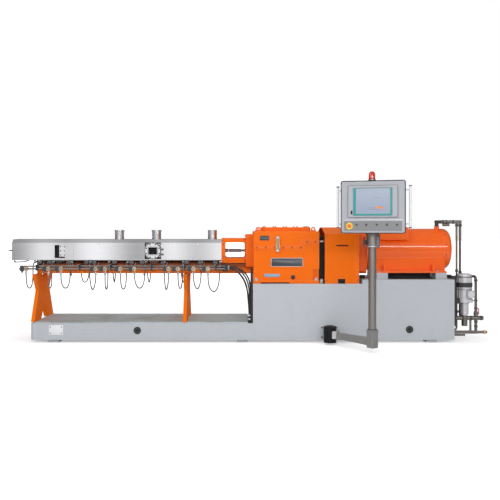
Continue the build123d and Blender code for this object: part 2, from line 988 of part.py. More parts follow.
# Pump unit
riser_bend = 3 * riser_far_radius
bracket_face = half_length + bracket_wall
with BuildPart() as pump_bracket:
    bracket_top = bracket_bottom + bracket_height
    near_y, far_y = pump_y - bracket_half_width, pump_y + bracket_half_width
    add_block((half_length, near_y, bracket_bottom), (bracket_face, far_y, bracket_top))
    band_bottom = pump_flange_bottom - bracket_band_overlap
    band_top = pump_flange_bottom + pump_flange_height + bracket_band_overlap
    for y in (near_y, far_y - bracket_wall):
        for reach, low, high in (
            (bracket_side_reach, bracket_bottom, bracket_top),
            (bracket_reach, band_bottom, band_top),
        ):
            add_block((half_length, y, low), (half_length + reach, y + bracket_wall, high))
finish(pump_bracket, "pump_bracket")

with BuildPart() as motor_water_lines:
    add_round((port_place, riser_y, port_boss_top), (port_place, riser_y, port_pipe_height), port_stem_radius)
    add_round(
        (port_place - port_stem_radius, riser_y, port_pipe_height),
        (header_end, riser_y, port_pipe_height),
        port_pipe_radius,
    )
    add_round(
        (hanging_start, riser_y, hanging_height), (hanging_end, riser_y, hanging_height), port_stem_radius
    )
    add_pipe(
        (
            (riser_near_x, riser_y, port_pipe_height),
            (riser_near_x, riser_y, drain_height),
            (half_length, riser_y, drain_height),
        ),
        riser_near_radius,
        riser_bend,
    )
    add_pipe(
        (
            (riser_far_x, riser_y, port_pipe_height),
            (riser_far_x, riser_y, pump_line_height),
            (riser_far_x, pump_y, pump_line_height),
        ),
        riser_far_radius,
        riser_bend,
    )
    add_round((bracket_face, pump_y, pump_line_height), (pump_line_end, pump_y, pump_line_height), pump_line_radius)
    add_round((pump_x, pump_y, pump_foot_bottom), (pump_x, pump_y, pump_neck_bottom), pump_foot_radius)
    add_pipe(
        (
            (return_x, pump_y, drain_height),
            (return_x, pump_y, return_top),
            (return_x, riser_y, return_top),
            (riser_far_x, riser_y, return_top),
        ),
        return_radius,
        riser_bend,
    )
    add_round((half_length, pump_y, drain_height), (drain_far_end, pump_y, drain_height), drain_radius)
    add_round((drain_far_end, pump_y, drain_height), (outlet_end, pump_y, drain_height), outlet_radius)
    add_round((drain_near_x, pump_y, drain_height), (drain_near_x, pump_y, pump_line_height), drain_near_radius)
    add_round(
        (return_x, pump_y, valve_height - valve_length / 2),
        (return_x, pump_y, valve_height + valve_length / 2),
        valve_radius,
    )
    stem_end = return_x + valve_radius + handle_clearance
    add_round((return_x, pump_y, valve_height), (stem_end, pump_y, valve_height), valve_stem_radius)
    small_y = pump_y + 2 * drain_radius + small_pipe_radius
    add_round(
        (half_length, small_y, small_pipe_height), (small_pipe_end, small_y, small_pipe_height), small_pipe_radius
    )
finish(motor_water_lines, "motor_water_lines")

with BuildPart() as valve_handle:
    handle_x = stem_end + seat
    add_block(
        (handle_x, pump_y - handle_width / 2, valve_height - handle_width / 2),
        (handle_x + handle_thickness, pump_y + handle_width / 2, valve_height - handle_width / 2 + handle_length),
    )
    fillet(valve_handle.edges().filter_by(Axis.X), handle_width / 3)
finish(valve_handle, "valve_handle")

with BuildPart() as pump_head:
    with BuildSketch(Plane.XZ.offset(-pump_y)):
        with BuildLine():
            Polyline(
                (pump_x, pump_neck_bottom),
                (pump_x + pump_neck_radius, pump_neck_bottom),
                (pump_x + pump_neck_radius, pump_stage_bottom),
                (pump_x + pump_stage_radius, pump_stage_bottom),
                (pump_x + pump_stage_radius, pump_stage_top),
                (pump_x + pump_collar_radius, pump_stage_top),
                (pump_x + pump_collar_radius, pump_flange_bottom),
                (pump_x + pump_flange_radius, pump_flange_bottom),
                (pump_x + pump_flange_radius, pump_flange_bottom + pump_flange_height),
                (pump_x, pump_flange_bottom + pump_flange_height),
                close=True,
            )
        make_face()
    revolve(axis=Axis((pump_x, pump_y, 0), (0, 0, 1)))
finish(pump_head, "pump_head")

pump_motor_bottom = pump_flange_bottom + pump_flange_height
with BuildPart() as pump_motor:
    with BuildSketch(Plane.XY.offset(pump_motor_bottom)):
        with Locations((pump_x, pump_y)):
            Circle(pump_motor_radius)
            with PolarLocations(pump_motor_radius, pump_rib_count):
                Rectangle(2 * pump_rib_height, pump_rib_thickness)
    extrude(amount=pump_motor_top - pump_motor_bottom)
    pump_cap_top = pump_motor_top + pump_cap_height
    add_round((pump_x, pump_y, pump_motor_top), (pump_x, pump_y, pump_cap_top), pump_motor_radius)
    fillet(pump_motor.faces().sort_by(Axis.Z)[-1].edges(), pump_cap_height / 2)
finish(pump_motor, "pump_motor")

with BuildPart() as pump_terminal_box:
    box_front = pump_y - pump_motor_radius - pump_box_depth
    add_block(
        (pump_box_start, box_front, pump_box_bottom),
        (pump_box_start + pump_box_length, pump_y, pump_box_bottom + pump_box_height),
    )
    add_round(
        (pump_x, pump_y, pump_motor_bottom),
        (pump_x, pump_y, pump_motor_top),
        pump_motor_radius + pump_rib_height + seat,
        mode=Mode.SUBTRACT,
    )
finish(pump_terminal_box, "pump_terminal_box")

# Arm of the operator panel: a fixed bracket, then a swinging arm and post
arm_plane = Plane(
    origin=(arm_x, arm_y, 0), x_dir=(cos(radians(arm_turn)), sin(radians(arm_turn)), 0), z_dir=(0, 0, 1)
)
post_x = arm_x + arm_reach * cos(radians(arm_turn))
post_y = arm_y + arm_reach * sin(radians(arm_turn))
middle_low = drum_bottom + drum_cap
middle_high = drum_top - drum_cap
with BuildPart() as arm_bracket:
    pad_back = -half_depth
    pad_front = pad_back - bracket_pad_thickness
    add_block(
        (arm_x - bracket_pad_half, pad_front, bracket_pad_bottom), (arm_x + bracket_pad_half, pad_back, bracket_pad_top)
    )
    fillet(arm_bracket.edges().filter_by(Axis.Y), bracket_pad_thickness)
    for low, high in ((drum_bottom, middle_low - swivel_gap), (middle_high + swivel_gap, drum_top)):
        add_round((arm_x, arm_y, low), (arm_x, arm_y, high), drum_radius)
        inner_low, inner_high = max(low, bracket_pad_bottom), min(high, bracket_pad_top)
        add_block(
            (arm_x - drum_radius / 2, arm_y, inner_low), (arm_x + drum_radius / 2, pad_front, inner_high)
        )
finish(arm_bracket, "arm_bracket")

with BuildPart(arm_plane) as arm_tube:
    add_round((0, 0, middle_low), (0, 0, middle_high), drum_radius)
    add_block((arm_reach - elbow_half, -elbow_half, elbow_bottom), (arm_reach + elbow_half, elbow_half, elbow_top))
    upright = arm_tube.edges().filter_by(Axis.Z).sort_by(Axis((0, 0, 0), arm_plane.x_dir))[-4:]
    fillet(upright, elbow_corner)
    fillet(arm_tube.faces().sort_by(Axis.Z)[0].edges(), elbow_corner / 2)
    for reach, half in ((0, arm_tube_half_start), (arm_reach, arm_tube_half_end)):
        start = arm_plane.from_local_coords((reach, 0, arm_tube_height))
        with BuildSketch(Plane(origin=start, x_dir=arm_plane.y_dir, z_dir=arm_plane.x_dir)):
            RectangleRounded(2 * half, 2 * half, arm_tube_corner)
    loft()
finish(arm_tube, "arm_tube")

with BuildPart() as panel_post:
    add_round((post_x, post_y, elbow_top), (post_x, post_y, post_top), post_radius)
finish(panel_post, "panel_post")

# Operator panel, built in its own turned plane through the post
turn = -radians(panel_turn)
panel_plane = Plane(origin=(post_x, post_y, 0), x_dir=(cos(turn), sin(turn), 0), z_dir=(0, 0, 1))
facing = Axis((0, 0, 0), (sin(turn), -cos(turn), 0))
panel_left = panel_side - panel_width / 2
panel_right = panel_side + panel_width / 2
housing_front = frame_thickness - panel_ahead
housing_back = panel_depth - panel_ahead
with BuildPart(panel_plane) as panel_fittings:
    add_round((0, 0, post_top + swivel_gap), (0, 0, panel_bottom), coupling_radius)
    add_round(
        (0, 0, panel_bottom - coupling_ring_height), (0, 0, panel_bottom), coupling_ring_radius
    )
    beacon_x = panel_side + beacon_place
    beacon_y = beacon_base_radius + housing_front
    beacon_seat = panel_top - frame_inset
    add_round(
        (beacon_x, beacon_y, beacon_seat), (beacon_x, beacon_y, beacon_seat + beacon_base_height), beacon_base_radius
    )
finish(panel_fittings, "panel_fittings")

with BuildPart(panel_plane) as panel_housing:
    add_block(
        (panel_left + housing_side_inset, housing_front, panel_bottom),
        (panel_right - housing_side_inset, housing_back, panel_top - frame_inset),
    )
    fillet(panel_housing.edges().filter_by(facing), panel_corner)
finish(panel_housing, "panel_housing")

with BuildPart(panel_plane) as panel_frame:
    add_block((panel_left, -panel_ahead, panel_bottom), (panel_right, housing_front, panel_top))
    fillet(panel_frame.edges().filter_by(facing), panel_corner)
finish(panel_frame, "panel_frame")

screen_low = (panel_side - screen_width / 2, -panel_ahead - screen_unit_thickness, screen_bottom)
screen_floor = screen_recess - panel_ahead - screen_unit_thickness
with BuildPart(panel_plane) as screen_unit:
    add_block(
        (panel_side - screen_unit_width / 2, -panel_ahead - screen_unit_thickness, screen_unit_bottom),
        (panel_side + screen_unit_width / 2, -panel_ahead, screen_unit_top),
    )
    fillet(screen_unit.edges().filter_by(facing), panel_corner / 4)
    add_block(screen_low, (panel_side + screen_width / 2, screen_floor, screen_top), mode=Mode.SUBTRACT)
finish(screen_unit, "screen_unit")

with BuildPart(panel_plane) as screen_glass:
    add_block(
        (screen_low[0] + seat, screen_low[1] + seat, screen_low[2] + seat),
        (panel_side + screen_width / 2 - seat, screen_floor, screen_top - seat),
    )
finish(screen_glass, "screen_glass")

with BuildPart(panel_plane) as button_strip:
    strip_front = -panel_ahead - strip_thickness
    add_block(
        (panel_side - strip_width / 2, strip_front, strip_bottom),
        (panel_side + strip_width / 2, -panel_ahead, strip_top),
    )
    stop_x = panel_side + stop_place
    add_round(
        (stop_x, strip_front, stop_height), (stop_x, -panel_ahead, stop_height), stop_collar_bore, mode=Mode.SUBTRACT
    )
    for x in button_places:
        add_round(
            (panel_side + x, strip_front - button_reach, button_height),
            (panel_side + x, strip_front, button_height),
            button_radius,
        )
finish(button_strip, "button_strip")

with BuildPart(panel_plane) as stop_collar:
    collar_front = strip_front - stop_collar_thickness
    add_round((stop_x, collar_front, stop_height), (stop_x, strip_front, stop_height), stop_collar_radius)
    chamfer(stop_collar.faces().sort_by(facing)[-1].edges(), stop_collar_thickness / 3)
    add_round(
        (stop_x, collar_front, stop_height),
        (stop_x, strip_front, stop_height),
        stop_collar_bore,
        mode=Mode.SUBTRACT,
    )
finish(stop_collar, "stop_collar")

with BuildPart(panel_plane) as stop_button:
    stem_back = -panel_ahead - seat - stop_travel
    head_back = collar_front - stop_travel - seat
    add_round((stop_x, head_back, stop_height), (stop_x, stem_back, stop_height), stop_stem_radius)
    add_round(
        (stop_x, head_back - stop_head_thickness, stop_height), (stop_x, head_back, stop_height), stop_head_radius
    )
    fillet(stop_button.faces().sort_by(facing)[-1].edges(), stop_head_thickness / 2)
finish(stop_button, "stop_button")

with BuildPart(panel_plane) as panel_handles:
    bar_y = handle_bar_depth - panel_ahead
    for edge_x, side in ((panel_left, -1), (panel_right, 1)):
        bar_x = edge_x + side * handle_bar_offset
        add_round((bar_x, bar_y, handle_bar_bottom), (bar_x, bar_y, handle_bar_top), handle_bar_radius)
        for height in handle_standoffs:
            wall_x = edge_x - side * housing_side_inset
            add_round((wall_x, bar_y, height), (bar_x, bar_y, height), handle_standoff_radius)
finish(panel_handles, "panel_handles")

with BuildPart(panel_plane) as beacon_dome:
    add_round(
        (beacon_x, beacon_y, beacon_seat + beacon_base_height), (beacon_x, beacon_y, beacon_top), beacon_radius
    )
    fillet(beacon_dome.faces().sort_by(Axis.Z)[-1].edges(), beacon_radius * 0.7)
finish(beacon_dome, "beacon_dome")


# Cooling water: supply and return pipes on bars along both sides of the beam
with BuildPart() as water_pipes:
    for side in (-1, 1):
        for y, z, radius in (
            (side * manifold_y, manifold_height, manifold_radius),
            (side * return_y, return_height, return_pipe_radius),
        ):
            add_round((manifold_start, y, z), (manifold_end, y, z), radius)
finish(water_pipes, "water_pipes")

with BuildPart() as pipe_bars:
    for side in (-1, 1):
        near, far = sorted((side * beam_width / 2, side * (manifold_y + bar_overhang)))
        for x in bar_places:
            add_block(
                (x - bar_thickness / 2, near, bar_bottom), (x + bar_thickness / 2, far, bar_bottom + bar_height)
            )
        for y, z, radius in (
            (side * manifold_y, manifold_height, manifold_radius),
            (side * return_y, return_height, return_pipe_radius),
        ):
            add_round((manifold_start, y, z), (manifold_end, y, z), radius + seat, mode=Mode.SUBTRACT)
finish(pipe_bars, "pipe_bars")

disc_back = manifold_y + manifold_radius + seat
disc_front = disc_back + valve_disc_thickness
neck_y = (disc_back + disc_front) / 2
valve_rows = ((-1, valve_places), (1, rear_valve_places))
with BuildPart() as cooling_valves:
    for side, places in valve_rows:
        for x in places:
            add_round(
                (x, side * disc_back, manifold_height), (x, side * disc_front, manifold_height), valve_disc_radius
            )
            add_round((x, side * neck_y, valve_neck_bottom), (x, side * neck_y, manifold_height), valve_neck_radius)
finish(cooling_valves, "cooling_valves")

with BuildPart() as valve_coils:
    for side, places in valve_rows:
        near, far = sorted((side * disc_back, side * (disc_back + coil_depth)))
        for x in places:
            coil_end = x - valve_disc_radius - seat
            add_block(
                (coil_end - coil_width, near, manifold_height - coil_height / 2),
                (coil_end, far, manifold_height + coil_height / 2),
            )
finish(valve_coils, "valve_coils")

front_elbows = [barrel_end - barrel_flange / 2 - step * barrel_length for step in range(barrel_count)][::-1]
rear_elbows = [barrel_end - barrel_flange / 2 - step * barrel_length for step in rear_riser_steps]
with BuildPart() as barrel_elbows:
    for side, places in ((-1, front_elbows), (1, rear_elbows)):
        for x in places:
            add_pipe(
                (
                    (x, side * elbow_y, barrel_bottom),
                    (x, side * elbow_y, elbow_height),
                    (x, side * elbow_reach, elbow_height),
                ),
                elbow_radius,
                elbow_bend,
            )
finish(barrel_elbows, "barrel_elbows")


def corner_radii(points):
    """Bend radii for a hose: 0.45 of the shorter run at each corner, over the tangent of half its turn."""
    corners = [Vector(*point) for point in points]
    runs = [after - before for before, after in zip(corners, corners[1:])]
    radii = []
    for before, after in zip(runs, runs[1:]):
        half_turn = radians(before.get_angle(after)) / 2
        radii.append(0.45 * min(before.length, after.length) / tan(half_turn))
    return radii


def add_hose(points, radius):
    """A round tube along the points of a hose or cable, with its bends printed."""
    radii = corner_radii(points)
    add_pipe(points, radius, radii)
    print("smallest bend", round(min(radii)), "mm at", points[0])


def hose_route(side, elbow_x, valve_x, low):
    """A cooling hose: forward out of its elbow, down, round a loose bend and up into its valve."""
    across = valve_x - elbow_x
    points = (
        (0.0, elbow_reach, elbow_height),
        (0.0, elbow_reach + 38, elbow_height),
        (0.01, elbow_reach + 74, elbow_height - 34),
        (0.04, elbow_reach + 76, elbow_height - 92),
        (0.06, elbow_reach + 74, low + 115),
        (0.20, elbow_reach + 80, low + 38),
        (0.38, elbow_reach + 112, low),
        (0.62, neck_y - 39, low),
        (0.84, neck_y - 5, low + 38),
        (1.0, neck_y, low + 108),
        (1.0, neck_y, valve_neck_bottom),
    )
    return [(elbow_x + share * across, side * y, z) for share, y, z in points]


with BuildPart() as cooling_hoses:
    for elbow_x, valve_x, low in zip(front_elbows, valve_places, hose_lows):
        add_hose(hose_route(-1, elbow_x, valve_x, low), hose_radius)
    for elbow_x, valve_x in zip(rear_elbows, rear_valve_places):
        add_hose(hose_route(1, elbow_x, valve_x, rear_hose_low), hose_radius)
finish(cooling_hoses, "cooling_hoses")

# Cables from the gland box on the beam, down through the gap in the deck
pocket_floor = deck_height - deck_plate_thickness - cable_pocket_depth
cable_routes = (
    [(gland_end, -285, 815), (-110, -285, 815), (-30, -290, 778), (38, -296, 702), (72, -300, 600),
     (79, -303, 480), (77, -301, 340), (78, -300, 210), (78, -300, pocket_floor)],
    [(gland_end, -262, 795), (-120, -262, 795), (-48, -264, 756), (12, -268, 690), (48, -272, 600),
     (62, -275, 480), (73, -277, 340), (77, -275, 210), (77, -275, pocket_floor)],
    [(gland_end, -238, 815), (-105, -238, 815), (-15, -242, 782), (58, -246, 715), (88, -250, 615),
     (96, -252, 480), (94, -251, 340), (95, -250, 210), (95, -250, pocket_floor)],
    [(gland_end, -210, 795), (-115, -210, 795), (-42, -216, 746), (15, -220, 670), (50, -223, 575),
     (68, -226, 460), (76, -225, 330), (78, -224, 205), (78, -224, pocket_floor)],
)
with BuildPart() as cable_bundle:
    for points in cable_routes:
        add_hose(points, cable_radius)
    add_round((conduit_x, conduit_y, pocket_floor), (conduit_x, conduit_y, conduit_top), conduit_radius)
finish(cable_bundle, "cable_bundle")

with BuildPart() as gland_box:
    add_block(
        (gland_start, -beam_width / 2 - gland_depth, gland_bottom), (gland_end, -beam_width / 2, gland_top)
    )
    fillet(gland_box.edges().filter_by(Axis.X), 2 * plate_thickness)
finish(gland_box, "gland_box")
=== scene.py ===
"""Looks of a twin-screw plastic extruder: finishes, hoses, cables, bolts, plates, panel and stage."""

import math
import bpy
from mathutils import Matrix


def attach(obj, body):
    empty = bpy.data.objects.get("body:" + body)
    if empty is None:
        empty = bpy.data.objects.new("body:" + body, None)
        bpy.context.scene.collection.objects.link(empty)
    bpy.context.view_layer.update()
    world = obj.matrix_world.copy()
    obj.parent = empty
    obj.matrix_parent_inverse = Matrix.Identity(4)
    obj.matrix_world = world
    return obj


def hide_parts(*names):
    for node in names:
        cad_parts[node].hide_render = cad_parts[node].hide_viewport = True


bl_info = {
    "name": "Plastic extruder",
    "version": (1, 0, 0),
    "blender": (4, 5, 0),
    "location": "View3D > Sidebar > Extruder",
    "description": "Dresses the packed extruder with its finishes, hoses, fittings and panel details",
    "category": "Add Mesh",
}

from itertools import product

import bmesh
import bpy
import numpy as np
from mathutils import Vector

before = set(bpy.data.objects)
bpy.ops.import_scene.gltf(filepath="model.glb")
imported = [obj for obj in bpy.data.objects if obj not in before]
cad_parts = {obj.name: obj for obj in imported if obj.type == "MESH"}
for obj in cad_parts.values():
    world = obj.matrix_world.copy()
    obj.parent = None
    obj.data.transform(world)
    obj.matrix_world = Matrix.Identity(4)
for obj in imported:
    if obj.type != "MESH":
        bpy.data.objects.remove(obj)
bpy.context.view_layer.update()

MM = 0.001
ROOT = "root"
PANEL = "control_panel"
STOP = "emergency_stop"
ARM = "support_arm"

LEFT = (-1, 0, 0)
RIGHT = (1, 0, 0)
FRONT = (0, -1, 0)
DOWN = (0, 0, -1)
UP = (0, 0, 1)
SIDES = (("front", -1), ("rear", 1))

# Places that the construction and the looks share, in millimetres
SCREW_AXIS = 985
DIE_FACE = -2575
BARREL_END = -234
BARREL_PITCH = 206
BARREL_COUNT = 11
COVER_FACE = 150
STACKS = (-1397, -975, -340)
SIDE_FEED = (-998, -175, SCREW_AXIS)
DECK_HEIGHT = 221
CAP_FACE = 403
GEARBOX_HALF = 380
GEARBOX_FACE = -368
MOTOR_AXIS = 1001
WATER_PORT = (-80, 1308)
PUMP_AXIS = (2462, -200, 0)
PUMP_LINE = (2588, -200)
NECK_Y = 369.8
MANIFOLD_Y = 352
MANIFOLD_HEIGHT = 797
VALVE_PLACES = (-2345, -2104, -1969, -1590, -1490, -1323, -1171, -802, -699, -531, -374)
REAR_VALVE_PLACES = (-1822, -1540, -1130, -728)
HOSE_LOWS = (583, 583, 583, 567, 572, 572, 583, 567, 578, 578, 545)
REAR_HOSE_LOW = 600
ELBOW_Y = 172
ELBOW_HEIGHT = 862
ELBOWS = [BARREL_END - 12 - BARREL_PITCH * step for step in range(BARREL_COUNT)]
REAR_ELBOWS = [ELBOWS[step] for step in (8, 6, 4, 2)]
PANEL_TURN = 20
PANEL_SIDE = 30
PANEL_AHEAD = 160
BEACON = (14, -106, 1693)
POST = (1288.96, -995.37, 0)
ARM_TURN = 54.3
ARM_PIVOT = (933, -500, 0)
POST_ALONG = 610
# Bodies whose pieces are given in their own frame (right, away, up): how far each is swung, and its pivot
SWINGS = {PANEL: (PANEL_TURN, POST), STOP: (PANEL_TURN, POST), ARM: (ARM_TURN, ARM_PIVOT)}
CABLE_ROUTES = (
    [(-160, -285, 815), (-110, -285, 815), (-30, -290, 778), (38, -296, 702), (72, -300, 600),
     (79, -303, 480), (77, -301, 340), (78, -300, 210), (78, -300, 79)],
    [(-160, -262, 795), (-120, -262, 795), (-48, -264, 756), (12, -268, 690), (48, -272, 600),
     (62, -275, 480), (73, -277, 340), (77, -275, 210), (77, -275, 79)],
    [(-160, -238, 815), (-105, -238, 815), (-15, -242, 782), (58, -246, 715), (88, -250, 615),
     (96, -252, 480), (94, -251, 340), (95, -250, 210), (95, -250, 79)],
    [(-160, -210, 795), (-115, -210, 795), (-42, -216, 746), (15, -220, 670), (50, -223, 575),
     (68, -226, 460), (76, -225, 330), (78, -224, 205), (78, -224, 79)],
)

# The stage, in metres and watts
CAMERA_PLACE = (-0.0265, -7.9, 1.24)
CAMERA_SHIFT = (0.02, -0.044)
FLOOR_NEAR = -12.0
FLOOR_REACH = 60.0
# Name, place, aim, size and power
LAMPS = (
    ("Key", (-3.6, -5.4, 4.2), (0.0, 0.0, 0.7), (4.2, 3.6), 120.0),
    ("Fill", (4.4, -4.6, 2.8), (0.4, 0.0, 0.8), (3.6, 3.0), 10.0),
    ("Top", (0.0, 0.4, 5.4), (0.0, 0.0, 0.8), (5.0, 5.0), 90.0),
    ("Back", (1.0, 5.2, 3.4), (0.0, 0.0, 0.8), (4.0, 4.0), 70.0),
    ("Line", (1.7, -6.4, 2.75), (1.7, 0.0, 1.0), (5.6, 0.5), 150.0),
)
UNMIRRORED_LAMPS = ("Top", "Back")
# White screens that polished pieces mirror: sideways place and reach, as shares of the distance
SOFTBOXES = ((-0.271, 0.028), (-0.203, 0.05), (-0.097, 0.036), (-0.025, 0.036))


def srgb(red, green, blue):
    """A colour as it is seen, 0 to 255 a channel, as the linear colour that the shader takes."""
    seen = np.array([red, green, blue]) / 255
    linear = np.where(seen <= 0.04045, seen / 12.92, ((seen + 0.055) / 1.055) ** 2.4)
    return (*linear.tolist(), 1.0)


def tinted(base, scale, lift=0.0):
    """A colour scaled and lifted, at most 1 a channel."""
    return (*(min(1.0, channel * scale + lift) for channel in base[:3]), 1.0)


def colour(name, description, *seen):
    """A colour property with a default."""
    return bpy.props.FloatVectorProperty(
        name=name, description=description, subtype="COLOR", size=4, min=0, max=1, default=srgb(*seen)
    )


def size(name, description, metres):
    """A length property with a default."""
    return bpy.props.FloatProperty(name=name, description=description, default=metres, unit="LENGTH")


class ExtruderPaints(bpy.types.PropertyGroup):
    """The colours that a user would change."""

    orange: colour("Orange", "Paint of the gearbox, lantern and coupling guard", 240, 108, 0)
    motor_orange: colour("Motor orange", "Paint of the motor and its adapter", 246, 98, 0)
    base_gray: colour("Base gray", "Paint of the base housing", 186, 190, 195)
    panel_gray: colour("Panel gray", "Front of the operator panel", 170, 172, 178)
    arm_gray: colour("Arm gray", "Paint of the panel's arm", 127, 127, 125)
    deck: colour("Deck", "Walked steel of the low deck", 192, 206, 208)
    stainless: colour("Stainless", "Polished cover over the barrels", 214, 214, 217)
    screen_edge: colour("Screen edge", "Border of the picture on the screen", 66, 150, 152)
    screen_field: colour("Screen field", "Field of the picture on the screen", 162, 172, 186)


class ExtruderSizes(bpy.types.PropertyGroup):
    """The sizes of the small pieces that a user would change, in metres."""

    bolt_radius: size("Bolt radius", "Half width of a flange bolt's head", 0.013)
    hose_radius: size("Hose radius", "Radius of a braided cooling hose", 0.0065)
    cable_radius: size("Cable radius", "Radius of a power cable", 0.0085)


class Nodes:
    """A node tree, with what adds a node to it and what feeds a socket."""

    def __init__(self, tree):
        self.tree = tree

    def add(self, kind, settings=None, **inputs):
        """Any node: its settings are set first, then its sockets from values, sockets or shades."""
        made = self.tree.nodes.new(kind)
        for key, value in (settings or {}).items():
            setattr(made, key, value)
        for key, value in inputs.items():
            number = key[0] == "n" and key[1:].isdigit()
            self.join(made.inputs[int(key[1:]) if number else key.replace("_", " ")], value)
        return made

    def join(self, target, value):
        """Feed one socket from a shade, a socket or a plain value."""
        if isinstance(value, Shade):
            value = value.socket
        if isinstance(value, bpy.types.NodeSocket):
            self.tree.links.new(value, target)
        else:
            target.default_value = value

    def shade(self, node, output=0):
        """A node's output as a shade."""
        return Shade(self.tree, node.outputs[output])


class Shade(Nodes):
    """A shader socket with arithmetic: each operator adds a Math node to the tree."""

    def __init__(self, tree, socket):
        super().__init__(tree)
        self.socket = socket

    def maths(self, operation, other, swap=False):
        pair = (other, self) if swap else (self, other)
        return self.shade(self.add("ShaderNodeMath", {"operation": operation}, n0=pair[0], n1=pair[1]))

    def __add__(self, other):
        return self.maths("ADD", other)

    def __radd__(self, other):
        return self.maths("ADD", other, swap=True)

    def __sub__(self, other):
        return self.maths("SUBTRACT", other)

    def __rsub__(self, other):
        return self.maths("SUBTRACT", other, swap=True)

    def __mul__(self, other):
        return self.maths("MULTIPLY", other)

    def __rmul__(self, other):
        return self.maths("MULTIPLY", other, swap=True)

    def clamp(self, low=0.0, high=1.0):
        return self.maths("MAXIMUM", low).maths("MINIMUM", high)


class Finish(Nodes):
    """A material under construction: its tree, object coordinates and main shader."""

    def __init__(self, name, base, rough=0.5, metallic=0.0):
        material = bpy.data.materials.new(name)
        material.use_nodes = True
        material.diffuse_color = base
        super().__init__(material.node_tree)
        self.tree.nodes.clear()
        self.shader = self.add(
            "ShaderNodeBsdfPrincipled", Base_Color=base, Roughness=rough, Metallic=metallic
        )
        self.add("ShaderNodeOutputMaterial", Surface=self.shader.outputs[0])
        self.place = self.add("ShaderNodeTexCoord").outputs["Object"]

    def feed(self, socket, value):
        self.join(self.shader.inputs[socket], value)

    def noise(self, scale, detail=3.0, stretch=(1, 1, 1)):
        """Smooth noise from 0 to 1 on object coordinates."""
        place = self.add("ShaderNodeMapping", Vector=self.place, Scale=stretch).outputs[0]
        made = self.add("ShaderNodeTexNoise", Vector=place, Scale=scale, Detail=detail, Roughness=0.6)
        return self.shade(made, "Fac")

    def mix(self, factor, first, second):
        """Two colours mixed by a factor."""
        return self.add("ShaderNodeMix", {"data_type": "RGBA"}, n0=factor, n6=first, n7=second).outputs[2]

    def vary(self, base, amount, noise):
        """The base colour, darker and lighter with a noise."""
        return self.mix(noise, tinted(base, 1 - amount), tinted(base, 1 + amount))

    def overlay(self, factor, shade):
        """Lay a colour over the coat so far."""
        coat = self.shader.inputs["Base Color"].links[0].from_socket
        self.feed("Base Color", self.mix(factor, coat, shade))

    def bump(self, height, strength, distance=0.001):
        """A Bump node from a height."""
        made = self.add("ShaderNodeBump", Strength=strength, Distance=distance, Height=height)
        self.feed("Normal", made.outputs[0])

    def edges_worn(self, radius):
        """1 on convex edges and 0 elsewhere, from the angle between a rounded and the true normal."""
        rounded = self.add("ShaderNodeBevel", {"samples": 4}, Radius=radius).outputs[0]
        true = self.add("ShaderNodeNewGeometry").outputs["Normal"]
        angle = self.add("ShaderNodeVectorMath", {"operation": "DOT_PRODUCT"}, n0=rounded, n1=true)
        return (1 - self.shade(angle, "Value")).clamp()


def painted(name, base, rough=0.35, wear=0.35, peel=0.06, specular=0.16):
    """Sprayed paint: slow shade drift, orange peel, dull grime, and edges rubbed paler."""
    made = Finish(name, base, rough)
    made.feed("Specular IOR Level", specular)
    drift = made.noise(2.2)
    grime = made.noise(14, 5)
    edges = (made.edges_worn(0.005) * 9 * made.noise(45, 4)).clamp()
    dull = tinted(base, 0.72, 0.03)
    coat = made.mix((grime - 0.52).clamp(0.0, 0.4) * 0.9, made.vary(base, 0.05, drift), dull)
    made.feed("Base Color", made.mix(edges * wear, coat, tinted(base, 0.55, 0.42)))
    made.feed("Roughness", rough - 0.06 + 0.16 * grime)
    made.bump(made.noise(420, 2), peel, 0.0006)
    return made


def glossy_paint(name, base):
    """Sprayed paint under a hard clear coat, which draws long bright lines on round forms."""
    made = painted(name, base, 0.3, 0.3, 0.03)
    made.feed("Coat Weight", 0.65)
    made.feed("Coat Roughness", 0.06)


def shadowed_stained_paint(name, base):
    """Orange paint darkened to brown towards the barrels by a painted shadow of the cover, its edge broken
    up by stains: height and noise pick the coat.
    """
    made = painted(name, base, 0.5, 0.15)
    height = made.shade(made.add("ShaderNodeSeparateXYZ", Vector=made.place), 2)
    stains = made.noise(16, 6, (1, 1, 0.4)) * 1.2
    # Painted shadow: the beam's top, under the barrel cover, is laid over with dark brown, and the noise
    # mixes in stains.
    made.overlay((height * 14 - 11.1 + stains).clamp(0.0, 0.85), srgb(96, 54, 38))


def pivot_paint(name, base, reach):
    """Gray paint that turns black near the arm's pivot: the distance from its axis picks the coat."""
    made = painted(name, base, 0.4)
    centred = tuple(-place * MM for place in ARM_PIVOT)
    flat = made.add("ShaderNodeMapping", Vector=made.place, Location=centred, Scale=(1, 1, 0)).outputs[0]
    far = made.add("ShaderNodeVectorMath", {"operation": "LENGTH"}, n0=flat)
    made.overlay(made.shade(far, "Value").maths("LESS_THAN", reach), srgb(24, 24, 26))


def polished(name, base):
    """Polished sheet: a nearly even mirror with faint lengthwise grain and wiped patches."""
    made = Finish(name, base, 0.14, 1.0)
    grain = made.noise(9, 6, (0.3, 30, 30))
    wiped = made.noise(1.6, 3)
    made.feed("Base Color", made.vary(base, 0.03, wiped))
    made.feed("Roughness", 0.04 + grain * 0.06 + wiped * 0.05)
    made.bump(grain, 0.012, 0.0003)


def brushed(name, base, rough=0.3, stretch=(0.5, 40, 40), scratch=0.12):
    """Brushed metal: fine lines along one axis in shade and roughness, with soft cloudy handling marks."""
    made = Finish(name, base, rough, 1.0)
    lines = made.noise(9, 6, stretch)
    clouds = made.noise(3.5, 4)
    made.feed("Base Color", made.vary(base, 0.10, lines * 0.6 + clouds * 0.4))
    made.feed("Roughness", rough - 0.10 + lines * 0.14 + clouds * 0.10)
    made.bump(lines, scratch, 0.0004)


